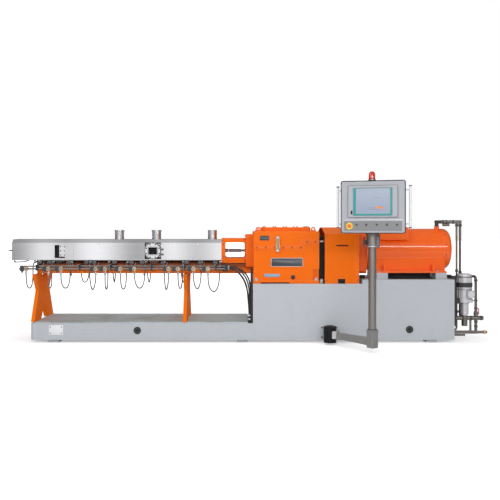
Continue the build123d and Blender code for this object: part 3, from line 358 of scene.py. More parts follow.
def steel(name, base, rough=0.42, metallic=0.9, spread=0.22):
    """Machined or drawn steel: blotches of oxide, turning marks and brighter rubbed edges."""
    made = Finish(name, base, rough, metallic)
    blotch = made.noise(7, 6)
    edges = (made.edges_worn(0.003) * 8).clamp()
    made.feed("Base Color", made.mix(edges * 0.5, made.vary(base, spread, blotch), tinted(base, 1.5, 0.08)))
    made.feed("Roughness", rough - 0.10 + 0.2 * blotch)
    made.bump(made.noise(160, 3), 0.10, 0.0004)


def plastic(name, base, rough=0.4, grain=600):
    """Moulded plastic: fine grain and a slight change of gloss."""
    made = Finish(name, base, rough)
    made.feed("Base Color", made.vary(base, 0.08, made.noise(6)))
    made.feed("Roughness", rough - 0.05 + 0.12 * made.noise(25))
    made.bump(made.noise(grain, 2), 0.12, 0.0005)


def walked_steel(name, base):
    """Walked steel deck: brown-gray mottling, lengthwise scuffs and duller patches."""
    made = Finish(name, base, 0.55, 0.35)
    patches = made.noise(2.4, 5)
    scuffs = made.noise(16, 5, (0.12, 3, 1))
    rusted = (patches - 0.45).clamp(0.0, 0.4) * 1.6
    made.feed("Base Color", made.mix(rusted, made.vary(base, 0.16, scuffs), srgb(124, 119, 112)))
    made.feed("Roughness", 0.42 + 0.3 * patches)
    made.bump(scuffs, 0.2, 0.0006)


def woven(name, base):
    """Woven steel braid: two crossing helices of fine ridges, from the hose's own UV map."""
    made = Finish(name, base, 0.38, 0.85)
    along = made.add("ShaderNodeTexCoord").outputs["UV"]
    ridges = []
    for lean in (0.6, -0.6):
        laid = made.add("ShaderNodeMapping", Vector=along, Scale=(90, 6, 1), Rotation=(0, 0, lean))
        wave = made.add("ShaderNodeTexWave", Vector=laid.outputs[0], Scale=1.0, Distortion=0.0)
        ridges.append(made.shade(wave, "Fac"))
    weave = ridges[0].maths("MAXIMUM", ridges[1])
    made.feed("Base Color", made.vary(base, 0.3, weave))
    made.feed("Roughness", 0.5 - 0.15 * weave)
    made.bump(weave, 0.4, 0.0004)


def clear_plastic(name, base, rough=0.2):
    """Clear tinted plastic: deep colour with a gloss coat and faint flow lines."""
    made = Finish(name, base, rough)
    made.feed("Coat Weight", 0.6)
    made.feed("Transmission Weight", 0.25)
    flow = made.noise(18, 3, (1, 1, 4))
    made.feed("Base Color", made.vary(base, 0.18, flow))
    made.feed("Roughness", rough - 0.05 + 0.1 * flow)


def screen_picture(name, field_shade):
    """The panel's picture in the panel's own frame: a border, a field, a few lines and one warm cell.

    Each area is the product of two steps, one across and one up, that are 1 inside and 0 outside.
    """
    made = Finish(name, field_shade, 0.16)
    made.feed("Specular IOR Level", 0.25)
    turn = math.radians(PANEL_TURN)
    spot = (
        -(POST[0] * math.cos(turn) + POST[1] * math.sin(-turn)) * MM,
        -(POST[0] * math.sin(turn) + POST[1] * math.cos(turn)) * MM,
        0,
    )
    local = made.add("ShaderNodeMapping", Vector=made.place, Rotation=(0, 0, turn), Location=spot)
    apart = made.add("ShaderNodeSeparateXYZ", Vector=local.outputs[0])
    x = made.shade(apart, 0)
    z = made.shade(apart, 2)

    def inside(value, low, high):
        return value.maths("GREATER_THAN", low * MM) * value.maths("LESS_THAN", high * MM)

    def area(left, right, low, high):
        return inside(x, left, right) * inside(z, low, high)

    field = area(-126, 194, 1384, 1620)
    rim = area(-130, 198, 1380, 1624)
    lines = area(38, 118, 1534, 1537) + area(-14, 96, 1433, 1437) + area(-2, 122, 1418, 1422)
    warm = area(64, 128, 1429, 1446)
    faded = made.mix((z * 4.2 - 5.7).clamp(), srgb(148, 158, 178), field_shade)
    edge_shade = bpy.context.scene.extruder_paints.screen_edge
    picture = made.mix(rim, edge_shade, srgb(176, 168, 176))
    picture = made.mix(field, picture, faded)
    picture = made.mix((lines * 0.6).clamp(), picture, srgb(120, 124, 134))
    picture = made.mix(warm, picture, srgb(236, 140, 60))
    made.feed("Base Color", picture)
    made.feed("Emission Color", picture)
    made.feed("Emission Strength", 0.03)
    made.feed("Roughness", 0.12 + 0.08 * made.noise(30))


def pale_floor(name, base):
    """A pale floor: white to the camera and in mirrors, darker only where the machine shades it."""
    made = Finish(name, base, 0.9)
    path = made.add("ShaderNodeLightPath")
    direct = made.shade(path, "Is Camera Ray") + path.outputs["Is Transmission Ray"]
    seen = (direct + made.shade(path, "Is Glossy Ray") * 0.2).clamp()
    made.feed("Emission Color", (1, 1, 1, 1))
    far = made.add("ShaderNodeVectorMath", {"operation": "LENGTH"}, n0=made.place)
    away = (made.shade(far, "Value") * 0.14 - 0.5).clamp(0.0, 0.6)
    made.feed("Emission Strength", seen * (away + 0.42))


# What makes each finish, its colour (a user's, or as seen) and what else the maker takes
FINISHES = {
    "orange": (painted, "orange", 0.32),
    "motor_orange": (glossy_paint, "motor_orange"),
    "shaded_orange": (painted, (238, 114, 12), 0.6, 0.15, 0.06, 0.05),
    "orange_bolt": (steel, (166, 76, 20), 0.45, 0.2, 0.12),
    "beam": (shadowed_stained_paint, (238, 112, 16)),
    "base": (painted, "base_gray", 0.42, 0.2),
    "panel": (painted, "panel_gray", 0.4, 0.2),
    "arm": (pivot_paint, "arm_gray", 0.0695),
    "bracket": (pivot_paint, "base_gray", 0.0855),
    "post": (brushed, (140, 134, 130), 0.34, (30, 30, 0.6)),
    "strip": (painted, (134, 135, 136), 0.4, 0.1),
    "black_paint": (painted, (22, 22, 24), 0.45),
    "dark_case": (painted, (66, 67, 72), 0.45, 0.2),
    "silver_paint": (painted, (196, 198, 202), 0.3),
    "bright_silver": (painted, (226, 227, 230), 0.3, 0.2),
    "deck": (walked_steel, "deck"),
    "sheet": (polished, "stainless"),
    "stainless": (brushed, "stainless", 0.24, (0.5, 40, 40), 0.015),
    "bright_edge": (brushed, (226, 227, 230), 0.2),
    "chrome": (brushed, (214, 215, 218), 0.16, (4, 4, 4), 0.03),
    "barrel": (steel, (142, 140, 140), 0.38),
    "dark_steel": (steel, (78, 76, 76), 0.45),
    "pipe": (steel, (122, 116, 112), 0.3, 0.9, 0.2),
    "brass": (steel, (190, 150, 84), 0.3, 1.0, 0.15),
    "bolt": (steel, (96, 92, 90), 0.36, 0.95, 0.1),
    "zinc": (steel, (182, 182, 180), 0.36, 0.95, 0.1),
    "brown_block": (steel, (88, 58, 44), 0.5, 0.3, 0.2),
    "black_plastic": (plastic, (34, 34, 37)),
    "gray_plastic": (plastic, (104, 107, 113)),
    "yellow_plastic": (plastic, (240, 196, 32), 0.35),
    "red_plastic": (plastic, (200, 30, 24), 0.3),
    "white_plastic": (plastic, (226, 227, 229), 0.35),
    "blue_label": (plastic, (124, 154, 180), 0.3),
    "dark_label": (plastic, (52, 54, 60), 0.3),
    "rubber": (plastic, (26, 26, 28), 0.7, 300),
    "cable": (plastic, (40, 40, 43), 0.5, 400),
    # Painted shade: a near-black matt finish for dark pieces set where only shade falls, in gaps, recesses
    # and openings.
    "shadow": (plastic, (16, 16, 18), 0.8),
    "braid": (woven, (120, 118, 118)),
    "beacon": (clear_plastic, (214, 34, 22)),
    "gauge_glass": (clear_plastic, (206, 176, 96), 0.12),
    "screen": (screen_picture, "screen_field"),
    "pale_floor": (pale_floor, (236, 236, 238)),
}

NODE_FINISHES = {
    "orange": ("gearbox_lower", "gearbox_upper", "gearbox_cap", "coupling_guard", "lantern"),
    "motor_orange": ("motor_adapter", "motor_body", "motor_cowl", "motor_feet", "terminal_box"),
    "shaded_orange": ("supports",),
    "beam": ("carrier_beam",),
    "base": ("bed_housing", "sole_bars"),
    "panel": ("panel_frame", "screen_unit"),
    "arm": ("arm_tube",),
    "bracket": ("arm_bracket",),
    "post": ("panel_post", "panel_fittings"),
    "strip": ("button_strip",),
    "black_paint": ("gland_box", "pump_bracket"),
    "dark_case": ("panel_housing",),
    "silver_paint": ("pump_motor", "pump_terminal_box", "pump_head"),
    "bright_silver": ("panel_handles",),
    "deck": ("deck_plate",),
    "sheet": ("barrel_cover",),
    "stainless": ("vent_stacks", "feed_inlet"),
    "bright_edge": ("barrel_ports",),
    "barrel": ("barrels_even", "barrels_odd", "discharge_flange"),
    "dark_steel": (
        "barrel_feet", "pipe_bars", "drive_coupling", "barrel_elbows", "screw_front", "screw_rear",
    ),
    "pipe": ("water_pipes", "motor_water_lines"),
    "brass": ("cooling_valves",),
    "black_plastic": ("valve_coils", "bed_covers"),
    "yellow_plastic": ("stop_collar",),
    "red_plastic": ("stop_button", "valve_handle"),
    "cable": ("cable_bundle",),
    "braid": ("cooling_hoses",),
    "beacon": ("beacon_dome",),
    "gauge_glass": ("oil_gauge",),
    "screen": ("screen_glass",),
}


def material(name):
    """The finish of that name, made on its first use."""
    if name not in bpy.data.materials:
        maker, base, *rest = FINISHES[name]
        own = isinstance(base, str)
        maker(name, getattr(bpy.context.scene.extruder_paints, base) if own else srgb(*base), *rest)
    return bpy.data.materials[name]


def skin(rings):
    """A closed form from rings of points.

    Ring k and ring k+1 are joined point to point by four-sided faces; the first and last ring are filled.
    """
    count, sides = rings.shape[:2]
    index = np.arange(count * sides).reshape(count, sides)
    after = np.roll(index, -1, axis=1)
    quads = np.stack([index[:-1], after[:-1], after[1:], index[1:]], axis=-1).reshape(-1, 4)
    return rings.reshape(-1, 3), quads.tolist() + [index[0][::-1].tolist(), index[-1].tolist()]


def across(axis):
    """Two unit directions square to an axis, and the unit axis."""
    axis = np.array(axis, float) / np.linalg.norm(axis)
    first = np.cross(UP if abs(axis[2]) < 0.9 else RIGHT, axis)
    first /= np.linalg.norm(first)
    return first, np.cross(axis, first), axis


def around(count, radius, axis, centre=(0, 0, 0), start=0.5):
    """Places on a circle: centre + radius * (cos a * u + sin a * v), u and v square to the axis."""
    first, second, _ = across(axis)
    angle = (np.arange(count) + start) * 2 * math.pi / count
    return np.array(centre) + radius * (np.outer(np.cos(angle), first) + np.outer(np.sin(angle), second))


def turned(profile, sides=32, axis=UP, centre=(0, 0, 0)):
    """A turned form: point (a, k) = centre + height_k * axis + radius_k * (cos a * u + sin a * v)."""
    profile = np.array(profile, float)
    rings = profile[:, 0, None, None] * around(sides, 1, axis, start=0)
    return skin(rings + profile[:, 1, None, None] * across(axis)[2] + np.array(centre, float))


def ring(inner, outer, low, high, axis=UP, centre=(0, 0, 0), sides=40):
    """A flat ring as a turned band: outer and inner radius at both faces, with its section closed."""
    profile = [(inner, low), (outer, low), (outer, high), (inner, high), (inner, low)]
    points, faces = turned(profile, sides, axis, centre)
    return points, faces[:-2]


def nut(inner, outer, half, axis, slope=2, sides=6):
    """A nut or collar round the origin: a turned barrel that slopes in at both ends."""
    profile = [(inner, -half), (outer, slope - half), (outer, half - slope), (inner, half)]
    return turned(profile, sides, axis)


def rounded(width, height, corner, steps=6):
    """A rounded rectangle: corner centre + corner radius * (cos a, sin a), a quarter turn at each."""
    quarter = np.linspace(0, math.pi / 2, steps)
    angle = (quarter + np.arange(4)[:, None] * math.pi / 2).reshape(-1)
    signs = np.repeat(np.array([[1, 1], [-1, 1], [-1, -1], [1, -1]]), steps, axis=0)
    middle = signs * (np.array([width, height]) / 2 - corner)
    return middle + corner * np.stack([np.cos(angle), np.sin(angle)], axis=1)


def lifted(outline, height):
    """An outline as points at one height."""
    return np.column_stack([outline, np.full(len(outline), height)])


def tower(outline, layers):
    """An upright form: one outline at several heights, each scaled about the middle."""
    return skin(np.stack([lifted(outline * scale, height) for scale, height in layers]))


def hoop(outer, inner, low, high, order):
    """A closed ring between two outlines at two heights, its three coordinates put in an order."""
    rings = [(outer, low), (outer, high), (inner, high), (inner, low), (outer, low)]
    points, faces = skin(np.stack([lifted(outline, height)[:, order] for outline, height in rings]))
    return points, faces[:-2]


def band(width, height, corner, margin, low, high):
    """A rectangular ring with rounded corners, standing from low to high along -Y round (0, 0)."""
    inner = rounded(width - 2 * margin, height - 2 * margin, max(corner - margin, 1))
    return hoop(rounded(width, height, corner), inner, -low, -high, (0, 2, 1))


def plate(centre, width, height, thick, corner, edge):
    """A plate with rounded corners on a front face: its outline at three depths, drawn in at the last.

    The centre is that of its back, and it stands out by its thickness along -Y.
    """
    outline = rounded(width, height, corner)
    inner = outline * (1 - 2 * edge / np.array([width, height]))
    depths = ((outline, 0), (outline, thick - edge), (inner, thick))
    return moved(skin(np.stack([lifted(flat, -depth)[:, (0, 2, 1)] for flat, depth in depths])), centre)


def block(low, high, edge=1.0):
    """A box with bevelled edges: an outline at four heights, drawn in at both ends."""
    low = np.array(low, float)
    reach = np.array(high, float) - low
    outline = rounded(reach[0], reach[1], min(edge, reach[0] / 2.01, reach[1] / 2.01), 3)
    inner = outline * (1 - 2 * edge / reach[:2])
    heights = ((inner, 0), (outline, edge), (outline, reach[2] - edge), (inner, reach[2]))
    rings = np.stack([lifted(flat, height) for flat, height in heights])
    return moved(skin(rings), low + reach / 2 * (1, 1, 0))


def swept(profile, path, up=UP):
    """A profile carried along a path: point (k, j) = path_k + x_j * side_k + y_j * rise_k.

    The side is up x tangent and the rise is tangent x side, so the profile stays square to the path.
    """
    path = np.array(path, float)
    run = np.diff(path, axis=0)
    run /= np.linalg.norm(run, axis=1)[:, None]
    tangent = np.vstack([run[:1], run[:-1] + run[1:], run[-1:]])
    tangent /= np.linalg.norm(tangent, axis=1)[:, None]
    side = np.cross(np.array(up, float), tangent)
    side /= np.linalg.norm(side, axis=1)[:, None]
    rise = np.cross(tangent, side)
    stretch = np.ones(len(path))
    stretch[1:-1] = 1 / np.maximum(np.einsum("ij,ij->i", tangent[1:-1], run[:-1]), 0.5)
    rings = path[:, None] + profile[None, :, :1] * (side * stretch[:, None])[:, None]
    return skin(rings + profile[None, :, 1:] * rise[:, None])


def moved(shape, place):
    """A form shifted to a place."""
    return shape[0] + np.array(place, float), shape[1]


def grid(*spans):
    """Every place that takes one value of each coordinate; a coordinate is one value or several."""
    return list(product(*(np.atleast_1d(span) for span in spans)))


def repeat(shape, places):
    """A shape copied to many places: every point plus every place, as one array."""
    points, faces = shape
    places = np.array(places, float)
    copies = (places[:, None] + points[None]).reshape(-1, 3)
    steps = np.arange(len(places)) * len(points)
    return copies, [[corner + step for corner in face] for step in steps.tolist() for face in faces]


def joined(*shapes):
    """Several forms as one."""
    faces = []
    start = 0
    for points, sides in shapes:
        faces += [[corner + start for corner in face] for face in sides]
        start += len(points)
    return np.vstack([points for points, _ in shapes]), faces


def bolts(places, axis, radius):
    """Hexagon bolts with washers at many places: the profiles of washer and head, turned about an axis."""
    washer = turned([(1.3 * radius, 0), (1.3 * radius, 0.16 * radius)], 16, axis)
    head = turned([(radius, 0.1 * radius), (radius, 0.75 * radius), (0.84 * radius, 0.9 * radius)], 6, axis)
    return joined(repeat(washer, places), repeat(head, places))


def swung(points, degrees, pivot):
    """Points given in a swinging part's own frame, turned clockwise about its pivot to where it stands."""
    turn = math.radians(-degrees)
    spin = np.array([[math.cos(turn), math.sin(turn), 0], [-math.sin(turn), math.cos(turn), 0], [0, 0, 1]])
    return points @ spin + np.array(pivot)


def shown(name, data, finish, body):
    """Put a mesh or curve in the scene with its finish and the body that it rides on."""
    made = bpy.data.objects.new(name, data)
    bpy.context.scene.collection.objects.link(made)
    data.materials.append(material(finish))
    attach(made, body)
    return made


def piece(name, shape, finish, body=ROOT, angle=40):
    """A shown mesh from a form in millimetres, riding on a body."""
    points, faces = shape
    if body in SWINGS:
        points = swung(points, *SWINGS[body])
    mesh = bpy.data.meshes.new(name)
    mesh.from_pydata((points * MM).tolist(), [], faces)
    with_normals = bmesh.new()
    with_normals.from_mesh(mesh)
    bmesh.ops.recalc_face_normals(with_normals, faces=with_normals.faces)
    with_normals.to_mesh(mesh)
    with_normals.free()
    mesh.polygons.foreach_set("use_smooth", np.ones(len(mesh.polygons), bool))
    mesh.set_sharp_from_angle(angle=math.radians(angle))
    return shown(name, mesh, finish, body)


def side_bolts(name, places, face, radius, finish):
    """A row of bolts on the front and one on the rear, at places (along, up) on both faces."""
    for end, side in SIDES:
        row = [(x, side * face, z) for x, z in places]
        piece(f"{name}_{end}", bolts(row, (0, side, 0), radius), finish)


def cord(name, points, radius, finish):
    """A hose or cable: one smooth curve whose control points are the route's, with a round section."""
    curve = bpy.data.curves.new(name, "CURVE")
    curve.dimensions = "3D"
    spline = curve.splines.new("NURBS")
    spline.points.add(len(points) - 1)
    places = np.column_stack([np.array(points, float) * MM, np.ones(len(points))])
    spline.points.foreach_set("co", places.reshape(-1))
    spline.order_u = 3
    spline.use_endpoint_u = True
    spline.resolution_u = 12
    curve.bevel_depth = radius
    curve.bevel_resolution = 4
    curve.use_fill_caps = True
    made = shown(name, curve, finish, ROOT)
    bare = curve.copy()
    bare.bevel_depth = 0
    probe = bpy.data.objects.new(name + "_line", bare)
    line = bpy.data.meshes.new_from_object(probe)
    track = np.empty(len(line.vertices) * 3)
    line.vertices.foreach_get("co", track)
    bpy.data.objects.remove(probe)
    bpy.data.curves.remove(bare)
    bpy.data.meshes.remove(line)
    return made


class MESH_OT_extruder_stage(bpy.types.Operator):
    """Lay the pale floor and the white world, and set the lamps and the camera."""

    bl_idname = "mesh.extruder_stage"
    bl_label = "Stage"

    def execute(self, context):
        scene = context.scene
        scene.view_settings.view_transform = "Standard"
        camera = bpy.data.objects.new("Camera", bpy.data.cameras.new("Camera"))
        camera.data.lens = 50
        camera.data.sensor_width = 36
        camera.data.shift_x, camera.data.shift_y = CAMERA_SHIFT
        camera.data.clip_end = 200
        camera.location = CAMERA_PLACE
        camera.rotation_euler = (math.pi / 2, 0, 0)
        scene.collection.objects.link(camera)
        scene.camera = camera

        floor = bpy.data.objects.new("floor", bpy.data.meshes.new("floor"))
        corners = [
            (-FLOOR_REACH, FLOOR_NEAR, 0), (FLOOR_REACH, FLOOR_NEAR, 0),
            (FLOOR_REACH, FLOOR_REACH, 0), (-FLOOR_REACH, FLOOR_REACH, 0),
        ]
        floor.data.from_pydata(corners, [], [(0, 1, 2, 3)])
        floor.data.materials.append(material("pale_floor"))
        scene.collection.objects.link(floor)

        for name, place, aim, reach, power in LAMPS:
            lamp = bpy.data.objects.new(name, bpy.data.lights.new(name, "AREA"))
            lamp.data.shape = "RECTANGLE"
            lamp.data.size, lamp.data.size_y = reach
            lamp.data.energy = power
            lamp.location = place
            lamp.visible_glossy = name not in UNMIRRORED_LAMPS
            lamp.rotation_euler = (Vector(aim) - Vector(place)).to_track_quat("-Z", "Y").to_euler()
            scene.collection.objects.link(lamp)

        scene.world = bpy.data.worlds.new("World")
        scene.world.use_nodes = True
        sky = Nodes(scene.world.node_tree)
        sky.tree.nodes.clear()
        path = sky.add("ShaderNodeLightPath")
        seen = (sky.shade(path, "Is Camera Ray") + path.outputs["Is Transmission Ray"]).clamp()
        apart = sky.add("ShaderNodeSeparateXYZ", Vector=sky.add("ShaderNodeTexCoord").outputs["Generated"])
        right, away, up = (sky.shade(apart, number) for number in range(3))
        boxes = 0.0 * right
        for centre, reach in SOFTBOXES:
            lit = (1 - (right - centre).maths("ABSOLUTE", 0.0) * (1 / reach)).clamp()
            boxes = boxes.maths("MAXIMUM", lit)
        mirrored = (0.2 - 0.46 * away).clamp(0.04, 0.66) * (boxes * 1.9 + 0.66) + 0.3 * up.clamp()
        strength = seen + (1 - seen) * (sky.shade(path, "Is Glossy Ray") * (mirrored - 0.45) + 0.45)
        white = sky.add("ShaderNodeBackground", Color=(1, 1, 1, 1), Strength=strength)
        sky.add("ShaderNodeOutputWorld", Surface=white.outputs[0])
        return {"FINISHED"}


class MESH_OT_extruder_finishes(bpy.types.Operator):
    """Give every constructed piece its finish."""

    bl_idname = "mesh.extruder_finishes"
    bl_label = "Finishes"

    def execute(self, context):
        named = {node: finish for finish, nodes in NODE_FINISHES.items() for node in nodes}
        for node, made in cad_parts.items():
            if node not in named:
                raise RuntimeError(f"no finish for {node}")
            slots = made.data.materials
            for place in range(len(slots)):
                slots[place] = material(named[node])
        return {"FINISHED"}


def hose_route(side, elbow_x, valve_x, low):
    """A cooling hose: forward out of its elbow, down, round a loose bend and up into its valve."""
    points = (
        (0.0, ELBOW_Y, ELBOW_HEIGHT),
        (0.0, ELBOW_Y + 38, ELBOW_HEIGHT),
        (0.01, 246, 828),
        (0.04, 248, 770),
        (0.06, 246, low + 115),
        (0.20, 252, low + 38),
        (0.38, 284, low),
        (0.62, NECK_Y - 39, low),
        (0.84, NECK_Y - 5, low + 38),
        (1.0, NECK_Y, low + 108),
        (1.0, NECK_Y, 766),
    )
    return [(elbow_x + share * (valve_x - elbow_x), side * y, z) for share, y, z in points]


class MESH_OT_extruder_hoses(bpy.types.Operator):
    """Hang each braided hose from its barrel's elbow to its valve, front and rear."""

    bl_idname = "mesh.extruder_hoses"
    bl_label = "Cooling hoses"

    def execute(self, context):
        radius = context.scene.extruder_sizes.hose_radius
        runs = [(-1, *run) for run in zip(reversed(ELBOWS), VALVE_PLACES, HOSE_LOWS)]
        runs += [(1, *run, REAR_HOSE_LOW) for run in zip(REAR_ELBOWS, REAR_VALVE_PLACES)]
        for number, run in enumerate(runs, 1):
            hose = cord(f"cooling_hose_{number}", hose_route(*run), radius, "braid")
            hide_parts("cooling_hoses")
        return {"FINISHED"}


class MESH_OT_extruder_cables(bpy.types.Operator):
    """Hang the power cables from the gland box into the pocket of the base, beside their conduit."""

    bl_idname = "mesh.extruder_cables"
    bl_label = "Power cables"

    def execute(self, context):
        radius = context.scene.extruder_sizes.cable_radius
        for number, route in enumerate(CABLE_ROUTES, 1):
            cable = cord(f"power_cable_{number}", route, radius, "cable")
            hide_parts("cable_bundle")
        ribs = [(12.5 + 1.1 * (row % 2), row * 3.0) for row in range(241)]
        tube = piece("cable_conduit", turned(ribs, 20, centre=(100, -340, 79)), "cable", angle=60)
        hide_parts("cable_bundle")
        return {"FINISHED"}


class MESH_OT_extruder_gearbox_fittings(bpy.types.Operator):
    """Bolt the gearbox's split line, cap, feet and flange, and set its plates, plug and gauge frame."""

    bl_idname = "mesh.extruder_gearbox_fittings"
    bl_label = "Gearbox fittings"

    def execute(self, context):
        radius = context.scene.extruder_sizes.bolt_radius / MM
        split = grid((154, 254, 347, 442, 536, 632), 1029) + grid((700, 790), 1090)
        side_bolts("gearbox_split_bolts", split, GEARBOX_HALF, 0.7 * radius, "orange_bolt")
        cap = grid((246, 365, 484, 603, 722), (-232, 232), 1249) + grid((246, 722), (-116, 0, 116), 1249)
        piece("gearbox_cap_bolts", bolts(cap, UP, 0.75 * radius), "orange_bolt")
        side_bolts("gearbox_foot_bolts", grid((151, 797), 684), GEARBOX_HALF, radius, "zinc")
        rim = grid(40, (-169, 169), (824, 882, 940, 998, 1056, 1114, 1148))
        rim += grid(40, (-110, -55, 0, 55, 110), 1148)
        piece("lantern_flange_bolts", bolts(rim, LEFT, 0.85 * radius), "orange_bolt")
        piece("lantern_frame_bolts", bolts(grid(-215, -150, (872, 925, 1060, 1104)), FRONT, 5.5), "bolt")
        piece("gearbox_data_plate", plate((239, GEARBOX_FACE, 1130.5), 100, 50, 2.4, 4, 0.6), "dark_label")
        blank = (482.5, GEARBOX_FACE, 868)
        piece("gearbox_blank_plate", plate(blank, 347, 94, 3, 8, 0.8), "dark_label")
        piece("gearbox_blank_plate_rim", moved(band(347, 94, 8, 5, 2.6, 4.2), blank), "bright_edge")
        piece("gearbox_blue_label", plate((320, GEARBOX_FACE, 726), 168, 34, 1.6, 3, 0.5), "blue_label")
        flat = turned([(24, 0), (24, 4), (20, 6)], 24, FRONT)
        plug = joined(flat, turned([(13, 5), (13, 18), (10.5, 20)], 6, FRONT))
        piece("gearbox_drain_plug", moved(plug, (548, GEARBOX_FACE, 706)), "black_paint")
        # Painted shadow: a dark strip along the foot of the gearbox's front, where shade falls under it.
        piece("gearbox_foot_gap", block((198, -381.2, 638), (509, -379.5, 651), 0.5), "shadow")
        piece("oil_gauge_glass", turned([(9, -68), (9, 68)], 16, UP, (381, -392, 1065.5)), "gauge_glass")
        ends = repeat(nut(17, 19, 11, UP, 3, 20), grid(381, -393, (994, 1137)))
        bars = repeat(block((0, -397, 1000), (4, -392.5, 1131), 1), grid((363, 395), 0, 0))
        piece("oil_gauge_ends", joined(ends, bars), "silver_paint")
        return {"FINISHED"}


class MESH_OT_extruder_coupling_fittings(bpy.types.Operator):
    """Fill the gap between gearbox and guard with a dark ring of painted shade, rubber folds and clamps,
    and bolt guard and adapter.
    """

    bl_idname = "mesh.extruder_coupling_fittings"
    bl_label = "Coupling fittings"

    def execute(self, context):
        # Painted shade: a near-black ring fills the gap between gearbox and guard, where shade falls.
        gap_shade = hoop(rounded(640, 500, 60), rounded(330, 330, 164), 834, 891, (2, 0, 1))
        piece("coupling_shroud", moved(gap_shade, (0, 0, 905)), "shadow")
        folds = repeat(block((842, -326, 670), (846, -318, 1130), 2), grid((0, 12, 24, 36), 0, 0))
        piece("coupling_shroud_folds", folds, "rubber")
        upper = block((842, -352, 1086), (884, -318, 1104), 3)
        stud = turned([(7, 0), (7, 12)], 12, FRONT, (863, -352, 1095))
        piece("coupling_clamp_upper", joined(upper, stud), "zinc")
        knob = turned([(20, 0), (20, 10), (14, 16)], 20, FRONT, (862, -320, 668))
        piece("coupling_clamp_lower", joined(knob, block((846, -340, 640), (880, -318, 660), 3)), "zinc")
        piece("guard_bolts", bolts(grid((915, 1240), -380, (670, 1150)), FRONT, 6), "orange_bolt")
        # Painted shade: a dark sheet behind the guard's notch stands for the shaded inside of the guard.
        piece("guard_notch_back", block((1030, -370, 640), (1119, -367, 694), 1), "shadow")
        piece("guard_seam", block((1226, -381.2, 642), (1229, -379.6, 1174), 0.5), "motor_orange")
        rim = grid(1289, (-220, 220), (760, 850, 940, 1030, 1120, 1165))
        piece("adapter_bolts", bolts(rim, RIGHT, 8), "orange_bolt")
        # Painted shade: a dark block under the adapter's flange, where shade falls.
        piece("adapter_chock", block((1298, -232, 683), (1352, -210, 722), 2), "shadow")
        return {"FINISHED"}


class MESH_OT_extruder_motor_fittings(bpy.types.Operator):
    """Bolt the motor down and round its end cover, and fit its dark elbow and water line unions."""

    bl_idname = "mesh.extruder_motor_fittings"
    bl_label = "Motor fittings"

    def execute(self, context):
        piece("motor_foot_bolts", bolts(grid((1504, 2145), (-268, 268), 766), UP, 15), "zinc")
        heads = []
        for _, y, z in around(12, 1, RIGHT):
            heads.append(bolts([(2252, 230 * y, MOTOR_AXIS + 230 * z)], (0, y, z), 6))
        piece("motor_end_bolts", joined(*heads), "orange_bolt")
        piece("motor_end_seam", ring(229, 232, 0, 4, RIGHT, (2232, 0, MOTOR_AXIS), 96), "motor_orange")
        lid = grid((1510, 1657, 1805), (-243, -67), 1248)
        piece("terminal_lid_bolts", bolts(lid, UP, 6), "orange_bolt")
        neck = [(24, 0), (24, 12), (21, 14), (21, 40), (25, 42), (25, 60), (20, 65)]
        neck = turned(neck, 24, UP, (2187, WATER_PORT[0], 1257))
        elbow = joined(neck, turned([(22, 0), (22, 22)], 6, RIGHT, (2208, *WATER_PORT)))
        piece("motor_port_elbow", elbow, "black_paint")
        # Painted shade: dark bars and a dark sheet under the motor, between its pads, where shade falls.
        shade_bars = repeat(block((1620, -146, 686), (2096, -122, 746), 3), grid(0, (0, 268), 0))
        piece("motor_bay_rails", shade_bars, "black_paint")
        piece("motor_bay_mat", block((1600, -284, 681.5), (2112, 284, 686), 1), "rubber")
        unions = joined(
            repeat(nut(23, 25, 9, RIGHT), grid((2256, 2292, 2372), *WATER_PORT)),
            repeat(nut(15, 17, 14, UP), grid(2412, WATER_PORT[0], (1270, 760, 300))),
            repeat(nut(18, 20, 14, UP), grid(2451, WATER_PORT[0], (1270, 740, 300))),
        )
        piece("water_line_unions", unions, "bolt")
        return {"FINISHED"}


class MESH_OT_extruder_pump_fittings(bpy.types.Operator):
    """Dress the pump: louvres, rings, flange bolts, unions, bleed knob, lever grip and brass tip."""

    bl_idname = "mesh.extruder_pump_fittings"
    bl_label = "Pump fittings"

    def execute(self, context):
        louvres = repeat(ring(84.3, 86.2, 0, 4, sides=64), grid(0, 0, range(590, 633, 7)))
        louvres = joined(louvres, ring(83.6, 85, 588, 638, sides=64))
        piece("pump_motor_louvres", moved(louvres, PUMP_AXIS), "black_plastic")
        trim = joined(ring(83, 86.5, 696, 703, sides=64), ring(83, 85.6, 560, 564, sides=64))
        piece("pump_motor_rings", moved(trim, PUMP_AXIS), "bolt")
        flange = around(8, 78, UP, (*PUMP_AXIS[:2], 422))
        piece("pump_flange_bolts", bolts(flange, DOWN, 8), "bolt")
        stages = repeat(ring(43, 47, 0, 5, sides=48), grid(*PUMP_AXIS[:2], (292, 320, 348, 376, 402)))
        piece("pump_stage_rings", stages, "chrome")
        grip = turned([(13, 34), (15, 37), (15, 46), (12, 50)], 20, RIGHT)
        knob = joined(turned([(6, 0), (6, 34)], 12, RIGHT), grip)
        piece("pump_bleed_knob", moved(knob, (2552, -206, 438)), "black_plastic")
        upright = repeat(nut(17, 20, 13, UP), grid(*PUMP_LINE, (660, 350, 205, 150)))
        level = repeat(nut(25, 28, 12, RIGHT), grid((2530, 2640), PUMP_LINE[1], 243))
        piece("pump_line_unions", joined(upright, level), "bolt")
        tip = [(17, 0), (19, 3), (19, 16), (15, 18), (15, 30), (11, 33)]
        piece("outlet_brass_tip", turned(tip, 20, RIGHT, (2676, PUMP_LINE[1], 86)), "brass")
        sleeve = turned([(5.5, 0), (6.5, 3), (6.5, 26), (4.5, 29)], 14, UP, (2620.8, PUMP_LINE[1], 322))
        piece("valve_grip", sleeve, "red_plastic", "valve_lever")
        piece("pump_box_screws", bolts(grid((2466, 2521), -338, (488, 542)), FRONT, 4), "bolt")
        return {"FINISHED"}


